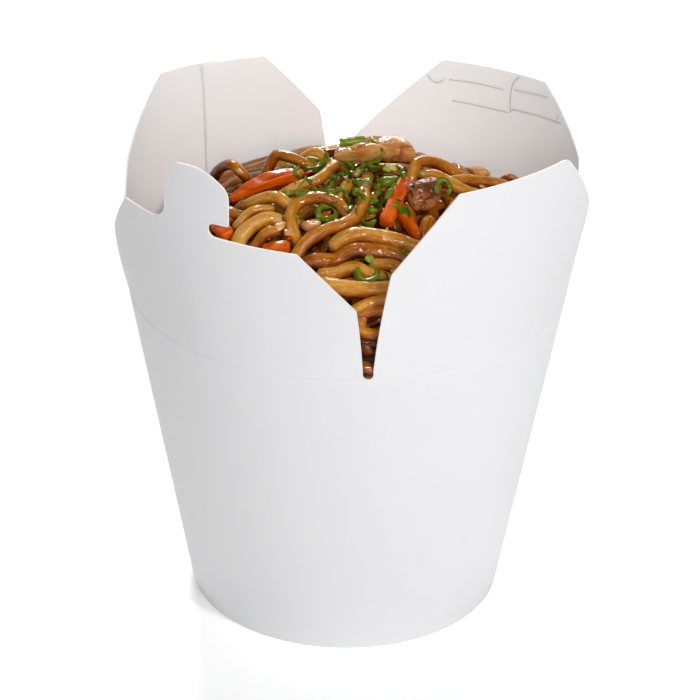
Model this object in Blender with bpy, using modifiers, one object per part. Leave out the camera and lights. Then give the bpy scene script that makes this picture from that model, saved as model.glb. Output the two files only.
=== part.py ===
"""Round-based paperboard noodle box with four open flaps, heaped with noodles, carrot and chicken.

Metres, +Z up. The box stands on the hem of its wall at z = 0, and Z is its axis.
"""

import math

import bmesh
import bpy
from mathutils import Matrix, Vector

MM = 0.001

# The paperboard cup
BOARD = 0.5 * MM  # thickness of the board
GAP = 0.3 * MM  # clearance between neighbouring pieces
FOOT_RADIUS = 40.2 * MM  # outer radius of the wall at the table
SCORE_RADIUS = 57.0 * MM  # outer radius at the score line, where the flaps fold
SCORE_HEIGHT = 89.0 * MM
HEM_HEIGHT = 7.0 * MM  # the wall turns in under the base rim and up again by this much
BASE_HEIGHT = 8.5 * MM  # top face of the recessed base disc
TURN_STEPS = 72  # facets round the wall and the base

# The flaps: each covers a quarter of the score circle, so it is half an eighth-turn either side
HALF_ARC = SCORE_RADIUS * math.pi / 4
GUIDE_HEIGHT = 45.0 * MM  # each flap's lean and spread are stated at this height above the score
NOTCH_RADIUS = 1.9 * MM  # round bottom of the slit between two flaps
NOTCH_FOOT = 0.5 * MM  # the slit stops this far above the score
BEND_STEP = 3.2 * MM  # width of the flat strips that a flap is bent from

# lean: how far the flap's guide line stands out from the axis, as a quadratic across the flap
# spread: its sideways shift and half width; corners: (across, up, fillet radius) of the cut edge
# between its two slits, from the counter-clockwise side to the clockwise side, in millimetres
FLAPS = {
    "flap_tab": {
        "facing": -129.5,
        "lean": (60.97, -5.44, -17.84),
        "spread": (0.9, 50.2),
        "corners": [
            (38.2, 20.8, 1.5), (24.1, 36.0, 0.8),
            # hook slot, then the locking tab
            (3.4, 36.3, 1.85), (3.4, 40.2, 1.85), (8.6, 40.4, 0.4), (8.6, 50.5, 5.5),
            (2.5, 55.4, 8.0), (-5.2, 54.9, 3.5), (-8.9, 45.5, 6.0), (-8.9, 36.1, 5.2),
            (-23.7, 36.1, 0.8), (-34.8, 21.7, 1.5),
        ],
    },
    "flap_plain": {
        "facing": -39.5,
        "lean": (54.87, 11.11, -15.61),
        "spread": (0.57, 47.69),
        "corners": [(33.8, 24.4, 1.5), (15.6, 45.7, 4.0), (-15.8, 45.9, 0.8), (-33.3, 27.7, 1.5)],
    },
    "flap_seamed": {
        "facing": 140.5,
        "lean": (49.27, 12.68, -19.98),
        "spread": (-0.59, 45.64),
        "corners": [
            (32.3, 28.6, 1.5), (14.7, 46.6, 0.8), (-2.6, 44.5, 0.2), (-3.2, 43.8, 0.2),
            (-15.9, 42.7, 0.8), (-33.7, 22.4, 1.5),
        ],
    },
    "flap_slotted": {
        "facing": 50.5,
        "lean": (57.9, -8.78, -16.37),
        "spread": (-1.12, 48.25),
        "corners": [(37.6, 9.8, 1.5), (13.0, 37.5, 0.8), (-15.7, 39.3, 0.8), (-33.8, 24.9, 1.5)],
    },
}

# The heap of noodles: a dome that drops more steeply near the wall
HEAP_TOP = 118.0 * MM
HEAP_FALL = 6.4  # drop per square metre of radius
HEAP_SHOULDER = 47.0 * MM
HEAP_SHOULDER_FALL = 180.0
HEAP_EDGE = 55.4 * MM
HEAP_LUMP = 0.9 * MM
HEAP_STEPS = 48
NOODLE_RADIUS = 2.3 * MM
NOODLE_STEP = 4.2 * MM  # between the points of a strand

# The large noodles on top, each a path of (x, y, height over the dome) in millimetres
NOODLES = [
    [(-12, -28, -4), (-14, -22, 1), (-15, -17, 2), (-12, -13, 2), (-6, -13, 2), (-2, -16, 1),
     (1, -21, -3)],
    [(-15, -35, -4), (-13, -31, 1), (-9, -29, 2), (-3, -26, 3), (2, -23, 3), (4, -17, 2), (4, -10, 1),
     (3, -5, -4)],
    [(-30, -30, -4), (-27, -23, 2), (-24, -20, 2), (-20, -18, 2), (-16, -18, -3)],
    [(-31, -22, -4), (-27, -16, 1), (-23, -14, 1), (-19, -13, -3)],
    [(-28, -9, -4), (-24, -9, 1), (-19, -11, 1), (-15, -14, -2)],
    [(-20, -10, -3), (-16, -9, 1), (-11, -8, 1), (-7, -3, 2), (-4, 2, 1), (-2, 7, -4)],
    [(-4, -16, -4), (-3, -12, 0), (-1, -7, 2), (0, -3, 1), (1, 2, -4)],
    [(-5, -36, -4), (-4, -31, 1), (0, -28, 2), (6, -27, 2), (13, -28, 1), (20, -31, -3)],
    [(-12, -31, -4), (-9, -35, 0), (-4, -35, 1), (1, -33, 1), (9, -33, 1), (17, -35, -3)],
    [(-12, -41, -4), (-6, -39, 0), (1, -39, 1), (8, -40, 0), (15, -41, -4)],
    [(-14, -43, -4), (-7, -43, 1), (2, -44, 2), (10, -44, 1), (17, -43, -4)],
    [(-2, -53, -4), (1, -49, 1), (6, -47, 1), (12, -45, 1), (18, -44, -4)],
    [(-37, 2, -4), (-36, 6, 4), (-33, 9, 6), (-29, 10, 5), (-26, 9, 1), (-24, 6, -4)],
    [(-25, 4, -4), (-23, 9, 1), (-21, 14, 3), (-16, 15, 2), (-12, 13, 0), (-8, 11, -4)],
    [(15, 2, -4), (18, 7, 0), (21, 11, 3), (25, 12, 3), (29, 11, 1), (33, 8, 1), (38, 5, -4)],
    [(17, 3, -4), (21, 4, 1), (26, 1, 1), (31, -2, 1), (36, -5, -4)],
    [(27, 3, -4), (30, 8, 2), (35, 11, 3), (40, 11, 3), (44, 8, -2), (46, 5, -5)],
]

# Pieces of chicken: place, height over the dome, turn, and length x width x height
CHICKEN = {
    "chicken_strip": ((2.0, 9.5), 1.0, 8.0, (14.0, 7.0, 5.5)),
    "chicken_top": ((11.0, 19.5), 1.8, -8.0, (15.0, 9.5, 7.5)),
    "chicken_browned": ((21.8, -8.6), 1.6, 35.0, (11.5, 10.0, 8.5)),
    "chicken_right": ((33.5, 14.5), 2.2, -20.0, (6.5, 5.0, 4.0)),
    "chicken_left": ((-9.5, -22.0), 0.3, -25.0, (6.0, 4.0, 3.2)),
    "chicken_front": ((25.0, -16.5), 0.4, 60.0, (6.0, 5.0, 3.6)),
}

# Carrot batons: the two ends of the middle line, height over the dome, thickness and bow
CARROTS = {
    "carrot_left": ((-30.5, -3.5), (-12.0, 1.0), 0.8, 3.7, 1.3),
    "carrot_upright": ((10.0, -21.0), (15.6, -1.5), 1.6, 3.6, 0.9),
    "carrot_low": ((14.4, -18.5), (18.8, -26.0), 0.6, 2.6, 0.4),
    "carrot_shoulder": ((-21.5, -27.5), (-14.6, -28.6), 0.4, 3.0, 0.3),
    "carrot_slot": ((-33.2, -15.2), (-30.2, -20.8), 0.8, 3.6, 0.3),
}

CARD_WHITE = (0.85, 0.85, 0.86, 1)
NOODLE_BROWN = (0.48, 0.24, 0.06, 1)
CHICKEN_TAN = (0.58, 0.36, 0.2, 1)
CARROT_ORANGE = (0.75, 0.17, 0.02, 1)


def make_material(name, colour, roughness):
    material = bpy.data.materials.new(name)
    material.use_nodes = True
    shader = material.node_tree.nodes["Principled BSDF"]
    shader.inputs["Base Color"].default_value = colour
    shader.inputs["Roughness"].default_value = roughness
    shader.inputs["Metallic"].default_value = 0
    return material


def add_object(name, mesh, collection, material):
    obj = bpy.data.objects.new(name, mesh)
    mesh.materials.append(material)
    collection.objects.link(obj)
    return obj


def mesh_from(bm, name):
    mesh = bpy.data.meshes.new(name)
    bm.to_mesh(mesh)
    bm.free()
    return mesh


def shade_round(mesh):
    mesh.shade_smooth()
    mesh.set_sharp_from_angle(angle=math.radians(35))


# The cup: wall and base, both turned about Z


def wall_radius(height):
    """Outer radius of the cone at a height above the table."""
    return FOOT_RADIUS + (SCORE_RADIUS - FOOT_RADIUS) * height / SCORE_HEIGHT


def turn_profile(name, profile, closed, collection, material):
    """Turns (radius, height) points about Z; the outer side runs from top to bottom."""
    mesh = bpy.data.meshes.new(name)
    count = len(profile)
    edges = [(i, (i + 1) % count) for i in range(count if closed else count - 1)]
    mesh.from_pydata([(radius, 0, height) for radius, height in profile], edges, [])
    obj = add_object(name, mesh, collection, material)
    screw = obj.modifiers.new("turn", "SCREW")
    screw.steps = screw.render_steps = TURN_STEPS
    screw.use_merge_vertices = True
    screw.merge_threshold = 0.00001
    return obj


def make_wall(collection, material):
    """The cone wall, folded in under the foot and up again as a hem that holds the base's rim."""
    top = SCORE_HEIGHT - GAP / 2
    channel = BOARD + 2 * GAP + BOARD  # wall, clearance, base rim, clearance
    profile = [
        (wall_radius(top), top),
        (FOOT_RADIUS, 0),
        (FOOT_RADIUS - channel - BOARD, 0),
        (wall_radius(HEM_HEIGHT) - channel - BOARD, HEM_HEIGHT),
        (wall_radius(HEM_HEIGHT) - channel, HEM_HEIGHT),
        (wall_radius(BOARD) - channel, BOARD),
        (wall_radius(BOARD) - BOARD, BOARD),
        (wall_radius(top) - BOARD, top),
    ]
    return turn_profile("cup_wall", profile, True, collection, material)


def make_base(collection, material):
    """The base disc, with a rim turned down into the hem."""
    rim_foot = BOARD + GAP
    under = BASE_HEIGHT - BOARD
    inset = BOARD + GAP
    profile = [
        (0, BASE_HEIGHT),
        (wall_radius(BASE_HEIGHT) - inset, BASE_HEIGHT),
        (wall_radius(rim_foot) - inset, rim_foot),
        (wall_radius(rim_foot) - inset - BOARD, rim_foot),
        (wall_radius(under) - inset - BOARD, under),
        (0, under),
    ]
    return turn_profile("base_disc", profile, False, collection, material)


# The flaps: a flat blank with its cut outline, bent onto a ruled surface


def fillet(before, corner, after, radius):
    """Points of the arc that rounds a corner."""
    to_before = (Vector(before) - Vector(corner)).normalized()
    to_after = (Vector(after) - Vector(corner)).normalized()
    opening = to_before.angle(to_after)
    reach = radius / math.tan(opening / 2)
    centre = Vector(corner) + (to_before + to_after).normalized() * radius / math.sin(opening / 2)
    start = Vector(corner) + to_before * reach - centre
    end = Vector(corner) + to_after * reach - centre
    turn = start.angle_signed(end)  # clockwise positive in mathutils
    steps = max(2, math.ceil(abs(turn) / math.radians(22)))
    return [centre + Matrix.Rotation(-turn * i / steps, 2) @ start for i in range(steps + 1)]


def notch_side(side):
    """The round quarter at the bottom of a slit, from the slit's foot up; side is +1 or -1."""
    centre = Vector((HALF_ARC, NOTCH_FOOT + NOTCH_RADIUS))
    lowest = math.asin(GAP / 2 / NOTCH_RADIUS)
    steps = 5
    points = []
    for i in range(steps + 1):
        angle = lowest + (math.pi / 2 - lowest) * i / steps
        across = centre.x - NOTCH_RADIUS * math.sin(angle)
        points.append(Vector((side * across, centre.y - NOTCH_RADIUS * math.cos(angle))))
    return points


def flap_outline(corners):
    """Closed outline of a flat flap: across the flap in x, up from the score in y."""
    right, left = notch_side(1), notch_side(-1)
    bottom = GAP / 2
    cut = [(right[-1].x, right[-1].y, 0)]
    cut += [(x * MM, y * MM, radius * MM) for x, y, radius in corners]
    cut += [(left[-1].x, left[-1].y, 0)]
    outline = [Vector((-HALF_ARC + GAP / 2, bottom)), Vector((HALF_ARC - GAP / 2, bottom))] + right
    for before, corner, after in zip(cut, cut[1:], cut[2:]):
        outline += fillet(before[:2], corner[:2], after[:2], corner[2])
    return outline + left[::-1]


def flap_point(flap, across, up, depth):
    """A point of the bent flap: its straight rulings run from the score circle to a guide line."""
    share = across / HALF_ARC
    angle = share * math.pi / 4
    lean, spread = flap["lean"], flap["spread"]
    foot = SCORE_RADIUS * Vector((math.cos(angle), math.sin(angle)))
    out = (lean[0] + lean[1] * share + lean[2] * share**2) * MM
    guide = Vector((out, (spread[0] + spread[1] * share) * MM))
    foot_run = SCORE_RADIUS * math.pi / 4 * Vector((-math.sin(angle), math.cos(angle)))
    guide_run = Vector((lean[1] + 2 * lean[2] * share, spread[1])) * MM
    part = up / GUIDE_HEIGHT
    point = foot.lerp(guide, part)
    run = foot_run.lerp(guide_run, part)
    rise = (guide - foot) / GUIDE_HEIGHT
    normal = Vector((run.x, run.y, 0)).cross(Vector((rise.x, rise.y, 1))).normalized()
    local = Vector((point.x, point.y, SCORE_HEIGHT + up)) - normal * depth
    return Matrix.Rotation(math.radians(flap["facing"]), 4, "Z") @ local


def flat_blank(name, outline):
    """A flat sheet of board from a filled 2D curve, its caps welded."""
    curve = bpy.data.curves.new(name, "CURVE")
    curve.dimensions = "2D"
    curve.fill_mode = "BOTH"
    curve.extrude = BOARD / 2
    spline = curve.splines.new("POLY")
    spline.points.add(len(outline) - 1)
    for point, place in zip(spline.points, outline):
        point.co = (place.x, place.y, 0, 1)
    spline.use_cyclic_u = True
    guide = bpy.data.objects.new(name + "_blank", curve)
    bpy.context.scene.collection.objects.link(guide)
    graph = bpy.context.evaluated_depsgraph_get()
    mesh = bpy.data.meshes.new_from_object(guide.evaluated_get(graph))
    bpy.data.objects.remove(guide)
    bm = bmesh.new()
    bm.from_mesh(mesh)
    bmesh.ops.remove_doubles(bm, verts=bm.verts, dist=0.000001)
    bmesh.ops.dissolve_limit(bm, angle_limit=math.radians(1), verts=bm.verts, edges=bm.edges)
    return bm


def make_flap(name, flap, collection, material):
    bm = flat_blank(name, flap_outline(flap["corners"]))
    cuts = int(HALF_ARC / BEND_STEP)
    for i in range(-cuts, cuts + 1):
        geometry = bm.verts[:] + bm.edges[:] + bm.faces[:]
        bmesh.ops.bisect_plane(bm, geom=geometry, plane_co=(i * BEND_STEP, 0, 0), plane_no=(1, 0, 0))
    bmesh.ops.triangulate(bm, faces=bm.faces)
    hinge = Vector((SCORE_RADIUS, 0, SCORE_HEIGHT))
    hinge.rotate(Matrix.Rotation(math.radians(flap["facing"]), 3, "Z"))
    for vertex in bm.verts:
        depth = BOARD / 2 - vertex.co.z
        vertex.co = flap_point(flap, vertex.co.x, vertex.co.y, depth) - hinge
    obj = add_object(name, mesh_from(bm, name), collection, material)
    obj.location = hinge  # the flap folds about the line that touches the score circle here
    return obj


# The heap of noodles


def heap_height(x, y):
    radius = math.hypot(x, y)
    drop = HEAP_FALL * radius**2 + HEAP_SHOULDER_FALL * max(0, radius - HEAP_SHOULDER) ** 2
    return HEAP_TOP - drop


def heap_lump(x, y):
    """Unevenness of the dome, fading out at the wall."""
    wave = math.sin(x * 310 + 0.6) * math.cos(y * 270 - 0.4) + 0.6 * math.sin(x * 170 - y * 210)
    return HEAP_LUMP * wave * max(0, 1 - math.hypot(x, y) / HEAP_SHOULDER)


def heap_body(name):
    """A closed solid of revolution that fills the cup up to the dome, then made uneven."""
    rings = 10
    profile = [(HEAP_EDGE * i / rings, heap_height(HEAP_EDGE * i / rings, 0)) for i in range(rings + 1)]
    bottom = BASE_HEIGHT + GAP
    profile += [(wall_radius(height) - BOARD - 2 * GAP, height) for height in (80 * MM, bottom)]
    profile += [(0, bottom)]
    bm = bmesh.new()
    vertices = [bm.verts.new((radius, 0, height)) for radius, height in profile]
    edges = [bm.edges.new(pair) for pair in zip(vertices, vertices[1:])]
    bmesh.ops.spin(
        bm, geom=vertices + edges, cent=(0, 0, 0), axis=(0, 0, 1), angle=math.tau,
        steps=HEAP_STEPS, use_merge=True,
    )
    bmesh.ops.remove_doubles(bm, verts=bm.verts, dist=0.00001)
    for vertex in bm.verts:
        if vertex.co.z > SCORE_HEIGHT:
            vertex.co.z += heap_lump(vertex.co.x, vertex.co.y)
    bmesh.ops.recalc_face_normals(bm, faces=bm.faces)
    return mesh_from(bm, name)


def smooth_path(route, step):
    """Points a step apart along a smooth curve through the route."""
    ends = [route[0] * 2 - route[1]] + route + [route[-1] * 2 - route[-2]]
    path = []
    for a, b, c, d in zip(ends, ends[1:], ends[2:], ends[3:]):
        pieces = max(1, round((c - b).length / step))
        for i in range(pieces):
            t = i / pieces
            path.append(
                0.5 * (2 * b + (c - a) * t + (2 * a - 5 * b + 4 * c - d) * t**2
                       + (3 * b - a - 3 * c + d) * t**3)
            )
    return path + [route[-1]]


def noodle_mesh(name, route):
    """A round strand laid over the dome, its two ends pushed into the heap."""
    places = []
    for x, y, over in route:
        places.append(Vector((x * MM, y * MM, heap_height(x * MM, y * MM) + over * MM)))
    curve = bpy.data.curves.new(name, "CURVE")
    curve.dimensions = "3D"
    curve.bevel_depth = NOODLE_RADIUS
    curve.bevel_resolution = 2
    curve.use_fill_caps = True
    path = smooth_path(places, NOODLE_STEP)
    spline = curve.splines.new("POLY")
    spline.points.add(len(path) - 1)
    for point, place in zip(spline.points, path):
        point.co = (place.x, place.y, place.z, 1)
    guide = bpy.data.objects.new(name, curve)
    bpy.context.scene.collection.objects.link(guide)
    graph = bpy.context.evaluated_depsgraph_get()
    mesh = bpy.data.meshes.new_from_object(guide.evaluated_get(graph))
    bpy.data.objects.remove(guide)
    bm = bmesh.new()
    bm.from_mesh(mesh)
    bmesh.ops.remove_doubles(bm, verts=bm.verts, dist=0.000001)
    return mesh_from(bm, name)


def make_heap(collection, helpers, material, toppings):
    heap = add_object("noodles", heap_body("noodles"), collection, material)
    for i, route in enumerate(NOODLES):
        strand = add_object(f"strand_{i}", noodle_mesh(f"strand_{i}", route), helpers, material)
        union = heap.modifiers.new(f"strand_{i}", "BOOLEAN")
        union.operation = "UNION"
        union.object = strand
    for topping in toppings:
        pocket = grown_copy(topping, helpers)
        cut = heap.modifiers.new(pocket.name, "BOOLEAN")
        cut.operation = "DIFFERENCE"
        cut.object = pocket
    return heap


# The toppings


def on_heap(x, y, over):
    return Vector((x * MM, y * MM, heap_height(x * MM, y * MM) + over * MM))


def heap_tilt(x, y):
    """Rotation that lays a flat piece along the dome's slope."""
    slope = -2 * HEAP_FALL
    normal = Vector((-slope * x * MM, -slope * y * MM, 1)).normalized()
    return Vector((0, 0, 1)).rotation_difference(normal).to_matrix().to_4x4()


def make_chicken(name, piece, collection, material):
    """A torn, uneven piece: a rounded block with waves across its surface."""
    (x, y), over, turn, size = piece
    cuts = 3 if max(size) > 10 else 2
    bm = bmesh.new()
    bmesh.ops.create_cube(bm, size=2)
    bmesh.ops.subdivide_edges(bm, edges=bm.edges, cuts=cuts, use_grid_fill=True)
    half = [side * MM / 2 for side in size]
    for vertex in bm.verts:
        place = vertex.co.copy()
        round_off = place.normalized() * 1.05
        place = place.lerp(round_off, 0.72)
        wave = math.sin(5.1 * place.x + x) * math.cos(4.3 * place.y + y) + math.sin(6.2 * place.z + x - y)
        place *= 1 + 0.07 * wave
        vertex.co = (place.x * half[0], place.y * half[1], place.z * half[2])
    turned = heap_tilt(x, y) @ Matrix.Rotation(math.radians(turn), 4, "Z")
    bmesh.ops.transform(bm, verts=bm.verts, matrix=Matrix.Translation(on_heap(x, y, over)) @ turned)
    bmesh.ops.recalc_face_normals(bm, faces=bm.faces)
    mesh = mesh_from(bm, name)
    shade_round(mesh)
    return add_object(name, mesh, collection, material)


def make_carrot(name, piece, collection, material):
    """A cut baton with a square section, slightly bowed and rounded along its edges."""
    start, end, over, thick, bow = piece
    first, last = on_heap(*start, over), on_heap(*end, over)
    length = (last - first).length
    bm = bmesh.new()
    bmesh.ops.create_cube(bm, size=1)
    bmesh.ops.scale(bm, vec=(length, thick * MM, thick * MM * 0.9), verts=bm.verts)
    for share in (-0.3, -0.1, 0.1, 0.3):
        geometry = bm.verts[:] + bm.edges[:] + bm.faces[:]
        bmesh.ops.bisect_plane(bm, geom=geometry, plane_co=(share * length, 0, 0), plane_no=(1, 0, 0))
    for vertex in bm.verts:
        along = 2 * vertex.co.x / length
        vertex.co.yz *= 1 - 0.12 * along**4 + 0.05 * math.sin(3 * along + length / MM)
        vertex.co.z += bow * MM * (1 - along**2)
        vertex.co.y += 0.25 * bow * MM * math.sin(2.4 * along)
    edges = [edge for edge in bm.edges if edge.calc_face_angle(0) > math.radians(45)]
    bmesh.ops.bevel(bm, geom=edges, offset=0.5 * MM, segments=1, affect="EDGES", clamp_overlap=True)
    middle = (first + last) / 2
    ahead = (last - first).normalized()
    upward = heap_tilt(middle.x / MM, middle.y / MM) @ Vector((0, 0, 1))
    sideways = upward.cross(ahead).normalized()
    turned = Matrix((ahead, sideways, ahead.cross(sideways))).transposed().to_4x4()
    bmesh.ops.transform(bm, verts=bm.verts, matrix=Matrix.Translation(middle) @ turned)
    bmesh.ops.recalc_face_normals(bm, faces=bm.faces)
    return add_object(name, mesh_from(bm, name), collection, material)


def grown_copy(obj, helpers):
    """A cutter that clears the object by the gap on every side."""
    bm = bmesh.new()
    bm.from_mesh(obj.data)
    for vertex in bm.verts:
        vertex.normal_update()
    grown = [vertex.co + vertex.normal * GAP * 1.4 for vertex in bm.verts]
    for vertex, place in zip(bm.verts, grown):
        vertex.co = place
    return add_object(obj.name + "_pocket", mesh_from(bm, obj.name + "_pocket"), helpers, obj.data.materials[0])


def add_collection(name):
    collection = bpy.data.collections.new(name)
    bpy.context.scene.collection.children.link(collection)
    return collection


def main():
    for obj in list(bpy.data.objects):
        bpy.data.objects.remove(obj)
    box = add_collection("noodle_box")
    helpers = add_collection("cutters")
    card = make_material("white_card", CARD_WHITE, 0.7)
    noodle = make_material("noodle", NOODLE_BROWN, 0.35)
    chicken = make_material("chicken", CHICKEN_TAN, 0.5)
    carrot = make_material("carrot", CARROT_ORANGE, 0.4)
    make_wall(box, card)
    make_base(box, card)
    for name, flap in FLAPS.items():
        make_flap(name, flap, box, card)
    toppings = [make_chicken(name, piece, box, chicken) for name, piece in CHICKEN.items()]
    toppings += [make_carrot(name, piece, box, carrot) for name, piece in CARROTS.items()]
    make_heap(box, helpers, noodle, toppings)
    for helper in helpers.objects:
        helper.hide_render = True
        helper.display_type = "WIRE"


main()
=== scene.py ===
import math

import bpy
import numpy as np
from mathutils import Matrix, Vector


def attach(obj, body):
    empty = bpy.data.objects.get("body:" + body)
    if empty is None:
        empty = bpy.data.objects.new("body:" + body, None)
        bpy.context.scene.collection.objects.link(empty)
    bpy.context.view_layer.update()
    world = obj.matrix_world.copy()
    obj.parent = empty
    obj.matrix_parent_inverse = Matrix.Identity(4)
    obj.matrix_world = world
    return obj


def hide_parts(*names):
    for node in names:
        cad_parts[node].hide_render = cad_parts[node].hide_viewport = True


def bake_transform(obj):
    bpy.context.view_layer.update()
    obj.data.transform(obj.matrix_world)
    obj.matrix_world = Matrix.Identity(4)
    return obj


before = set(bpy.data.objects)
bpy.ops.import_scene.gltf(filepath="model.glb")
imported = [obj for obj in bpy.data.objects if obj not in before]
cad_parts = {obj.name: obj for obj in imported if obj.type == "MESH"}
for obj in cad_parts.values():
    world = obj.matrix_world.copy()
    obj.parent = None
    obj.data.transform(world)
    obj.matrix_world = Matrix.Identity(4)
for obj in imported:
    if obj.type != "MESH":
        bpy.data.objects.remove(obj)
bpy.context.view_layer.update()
print("frame loaded")


# small helpers: all shapes are worked out in millimetres and stored in metres

def putMesh(name, points, faces, materials, groups=None, sharp=None, tone=None, flow=None):
    mesh = bpy.data.meshes.new(name)
    mesh.from_pydata((np.asarray(points) * 0.001).tolist(), [], faces)
    mesh.shade_smooth()
    if sharp:
        mesh.set_sharp_from_angle(angle=math.radians(sharp))
    for material in materials:
        mesh.materials.append(material)
    if groups is not None:
        mesh.polygons.foreach_set("material_index", np.asarray(groups, dtype=np.int32))
    if tone is not None:
        mesh.attributes.new("tone", "FLOAT", "POINT").data.foreach_set("value", np.asarray(tone, dtype=np.float32))
    if flow is not None:
        mesh.attributes.new("flow", "FLOAT_VECTOR", "POINT").data.foreach_set("vector", np.asarray(flow, dtype=np.float32).ravel())
    obj = bpy.data.objects.new(name, mesh)
    bpy.context.scene.collection.objects.link(obj)
    return obj


def gridFaces(rows, columns, closed=False, start=0):
    # quads between neighbouring rows and columns of points numbered row by row
    i = np.arange(rows - 1)[:, None]
    j = np.arange(columns if closed else columns - 1)[None, :]
    a, b = i * columns + j, i * columns + (j + 1) % columns
    return np.stack([a, b, b + columns, a + columns], -1).reshape(-1, 4) + start


def weld(points, faces, within=0.002):
    # points at the same place made one, and corners that fell together dropped from their faces
    _, first, index = np.unique(np.round(points / within).astype(np.int64), axis=0, return_index=True, return_inverse=True)
    return first, index.reshape(-1)[faces]


def plainFaces(faces):
    # quads as lists, with a repeated corner taken out and a collapsed face left out
    good = (faces != np.roll(faces, -1, axis=1)).sum(axis=1) >= 3
    return [[a for a, b in zip(face, face[1:] + face[:1]) if a != b] for face in faces[good].tolist()], good


def softNoise(points, size, seed):
    # random numbers on a cubic lattice of this size, blended by a smoothstep between the eight corners around a point
    table = np.random.default_rng(seed).random((16, 16, 16)) * 2 - 1
    place = np.asarray(points, dtype=float) / size
    low = np.floor(place).astype(int)
    part = place - low
    part = part * part * (3 - 2 * part)
    total = np.zeros(place.shape[:-1])
    for corner in range(8):
        step = np.array([corner >> 2 & 1, corner >> 1 & 1, corner & 1])
        i, j, k = np.moveaxis((low + step) % 16, -1, 0)
        total += np.prod(np.where(step, part, 1 - part), axis=-1) * table[i, j, k]
    return total


def unit(vectors):
    return vectors / np.maximum(np.linalg.norm(vectors, axis=-1, keepdims=True), 1e-9)


def smoothPath(route, step):
    # a Catmull-Rom curve through the route, then points at an equal step along it
    route = np.asarray(route, dtype=float)
    ends = np.concatenate([2 * route[:1] - route[1:2], route, 2 * route[-1:] - route[-2:-1]])
    t = np.linspace(0, 1, 24, endpoint=False)[None, :, None]
    a, b, c, d = (ends[k:len(ends) - 3 + k, None, :] for k in range(4))
    curve = 0.5 * (2 * b + (c - a) * t + (2 * a - 5 * b + 4 * c - d) * t**2 + (3 * b - a - 3 * c + d) * t**3)
    curve = np.concatenate([curve.reshape(-1, route.shape[1]), route[-1:]])
    length = np.concatenate([[0], np.cumsum(np.linalg.norm(np.diff(curve, axis=0), axis=1))])
    places = np.linspace(0, length[-1], max(4, int(length[-1] / step) + 1))
    return np.stack([np.interp(places, length, curve[:, k]) for k in range(curve.shape[1])], -1)


# materials

def group(name, inputs, outputs):
    tree = bpy.data.node_groups.new(name, "ShaderNodeTree")
    for label, kind, value in inputs:
        socket = tree.interface.new_socket(label, in_out="INPUT", socket_type=kind)
        if value is not None:
            socket.default_value = value
    for label, kind in outputs:
        tree.interface.new_socket(label, in_out="OUTPUT", socket_type=kind)
    return tree, tree.nodes.new("NodeGroupInput"), tree.nodes.new("NodeGroupOutput")


def noiseNode(tree, vector, scale, detail=4, roughness=0.55, distortion=0.0):
    node = tree.nodes.new("ShaderNodeTexNoise")
    node.inputs["Scale"].default_value = scale
    node.inputs["Detail"].default_value = detail
    node.inputs["Roughness"].default_value = roughness
    node.inputs["Distortion"].default_value = distortion
    tree.links.new(vector, node.inputs["Vector"])
    return node.outputs["Fac"]


def rampNode(tree, value, stops):
    node = tree.nodes.new("ShaderNodeValToRGB")
    tree.links.new(value, node.inputs["Fac"])
    ramp = node.color_ramp
    while len(ramp.elements) < len(stops):
        ramp.elements.new(0.5)
    for element, (place, colour) in zip(ramp.elements, stops):
        element.position = place
        element.color = (*colour, 1) if len(colour) == 3 else colour
    return node.outputs["Color"]


def mathNode(tree, kind, a, b=None, c=None, clamp=False):
    node = tree.nodes.new("ShaderNodeMath")
    node.operation = kind
    node.use_clamp = clamp
    for socket, value in zip(node.inputs, (a, b, c)):
        if isinstance(value, (int, float)):
            socket.default_value = value
        elif value is not None:
            tree.links.new(value, socket)
    return node.outputs[0]


def mixNode(tree, share, a, b, kind="MIX"):
    node = tree.nodes.new("ShaderNodeMix")
    node.data_type = "RGBA"
    node.blend_type = kind
    for socket, value in ((node.inputs[0], share), (node.inputs[6], a), (node.inputs[7], b)):
        if isinstance(value, (int, float)):
            socket.default_value = value
        elif isinstance(value, tuple):
            socket.default_value = (*value, 1)
        else:
            tree.links.new(value, socket)
    return node.outputs[2]


def newMaterial(name, **values):
    material = bpy.data.materials.new(name)
    material.use_nodes = True
    shader = material.node_tree.nodes["Principled BSDF"]
    for label, value in values.items():
        shader.inputs[label].default_value = value
    return material, material.node_tree, shader


def objectPlace(tree):
    return tree.nodes.new("ShaderNodeTexCoord").outputs["Object"]


def useGroup(tree, name, vector, **values):
    node = tree.nodes.new("ShaderNodeGroup")
    node.node_tree = bpy.data.node_groups[name]
    tree.links.new(vector, node.inputs["Place"])
    for label, value in values.items():
        node.inputs[label].default_value = value
    return node


# the inner face is set far lighter than the outer, though both are one white board: apart from a little warmth of its
# coating, the extra lightness inside is painted light that makes up for the shade inside the box
boardLook = {
    "outside": (0.745, 0.745, 0.756), "inside": (0.94, 0.935, 0.93), "cutEdge": (0.96, 0.95, 0.93),
    "through": 0.9, "fibreSize": 2600.0, "mottle": 0.02, "bump": 0.06,
}


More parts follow.
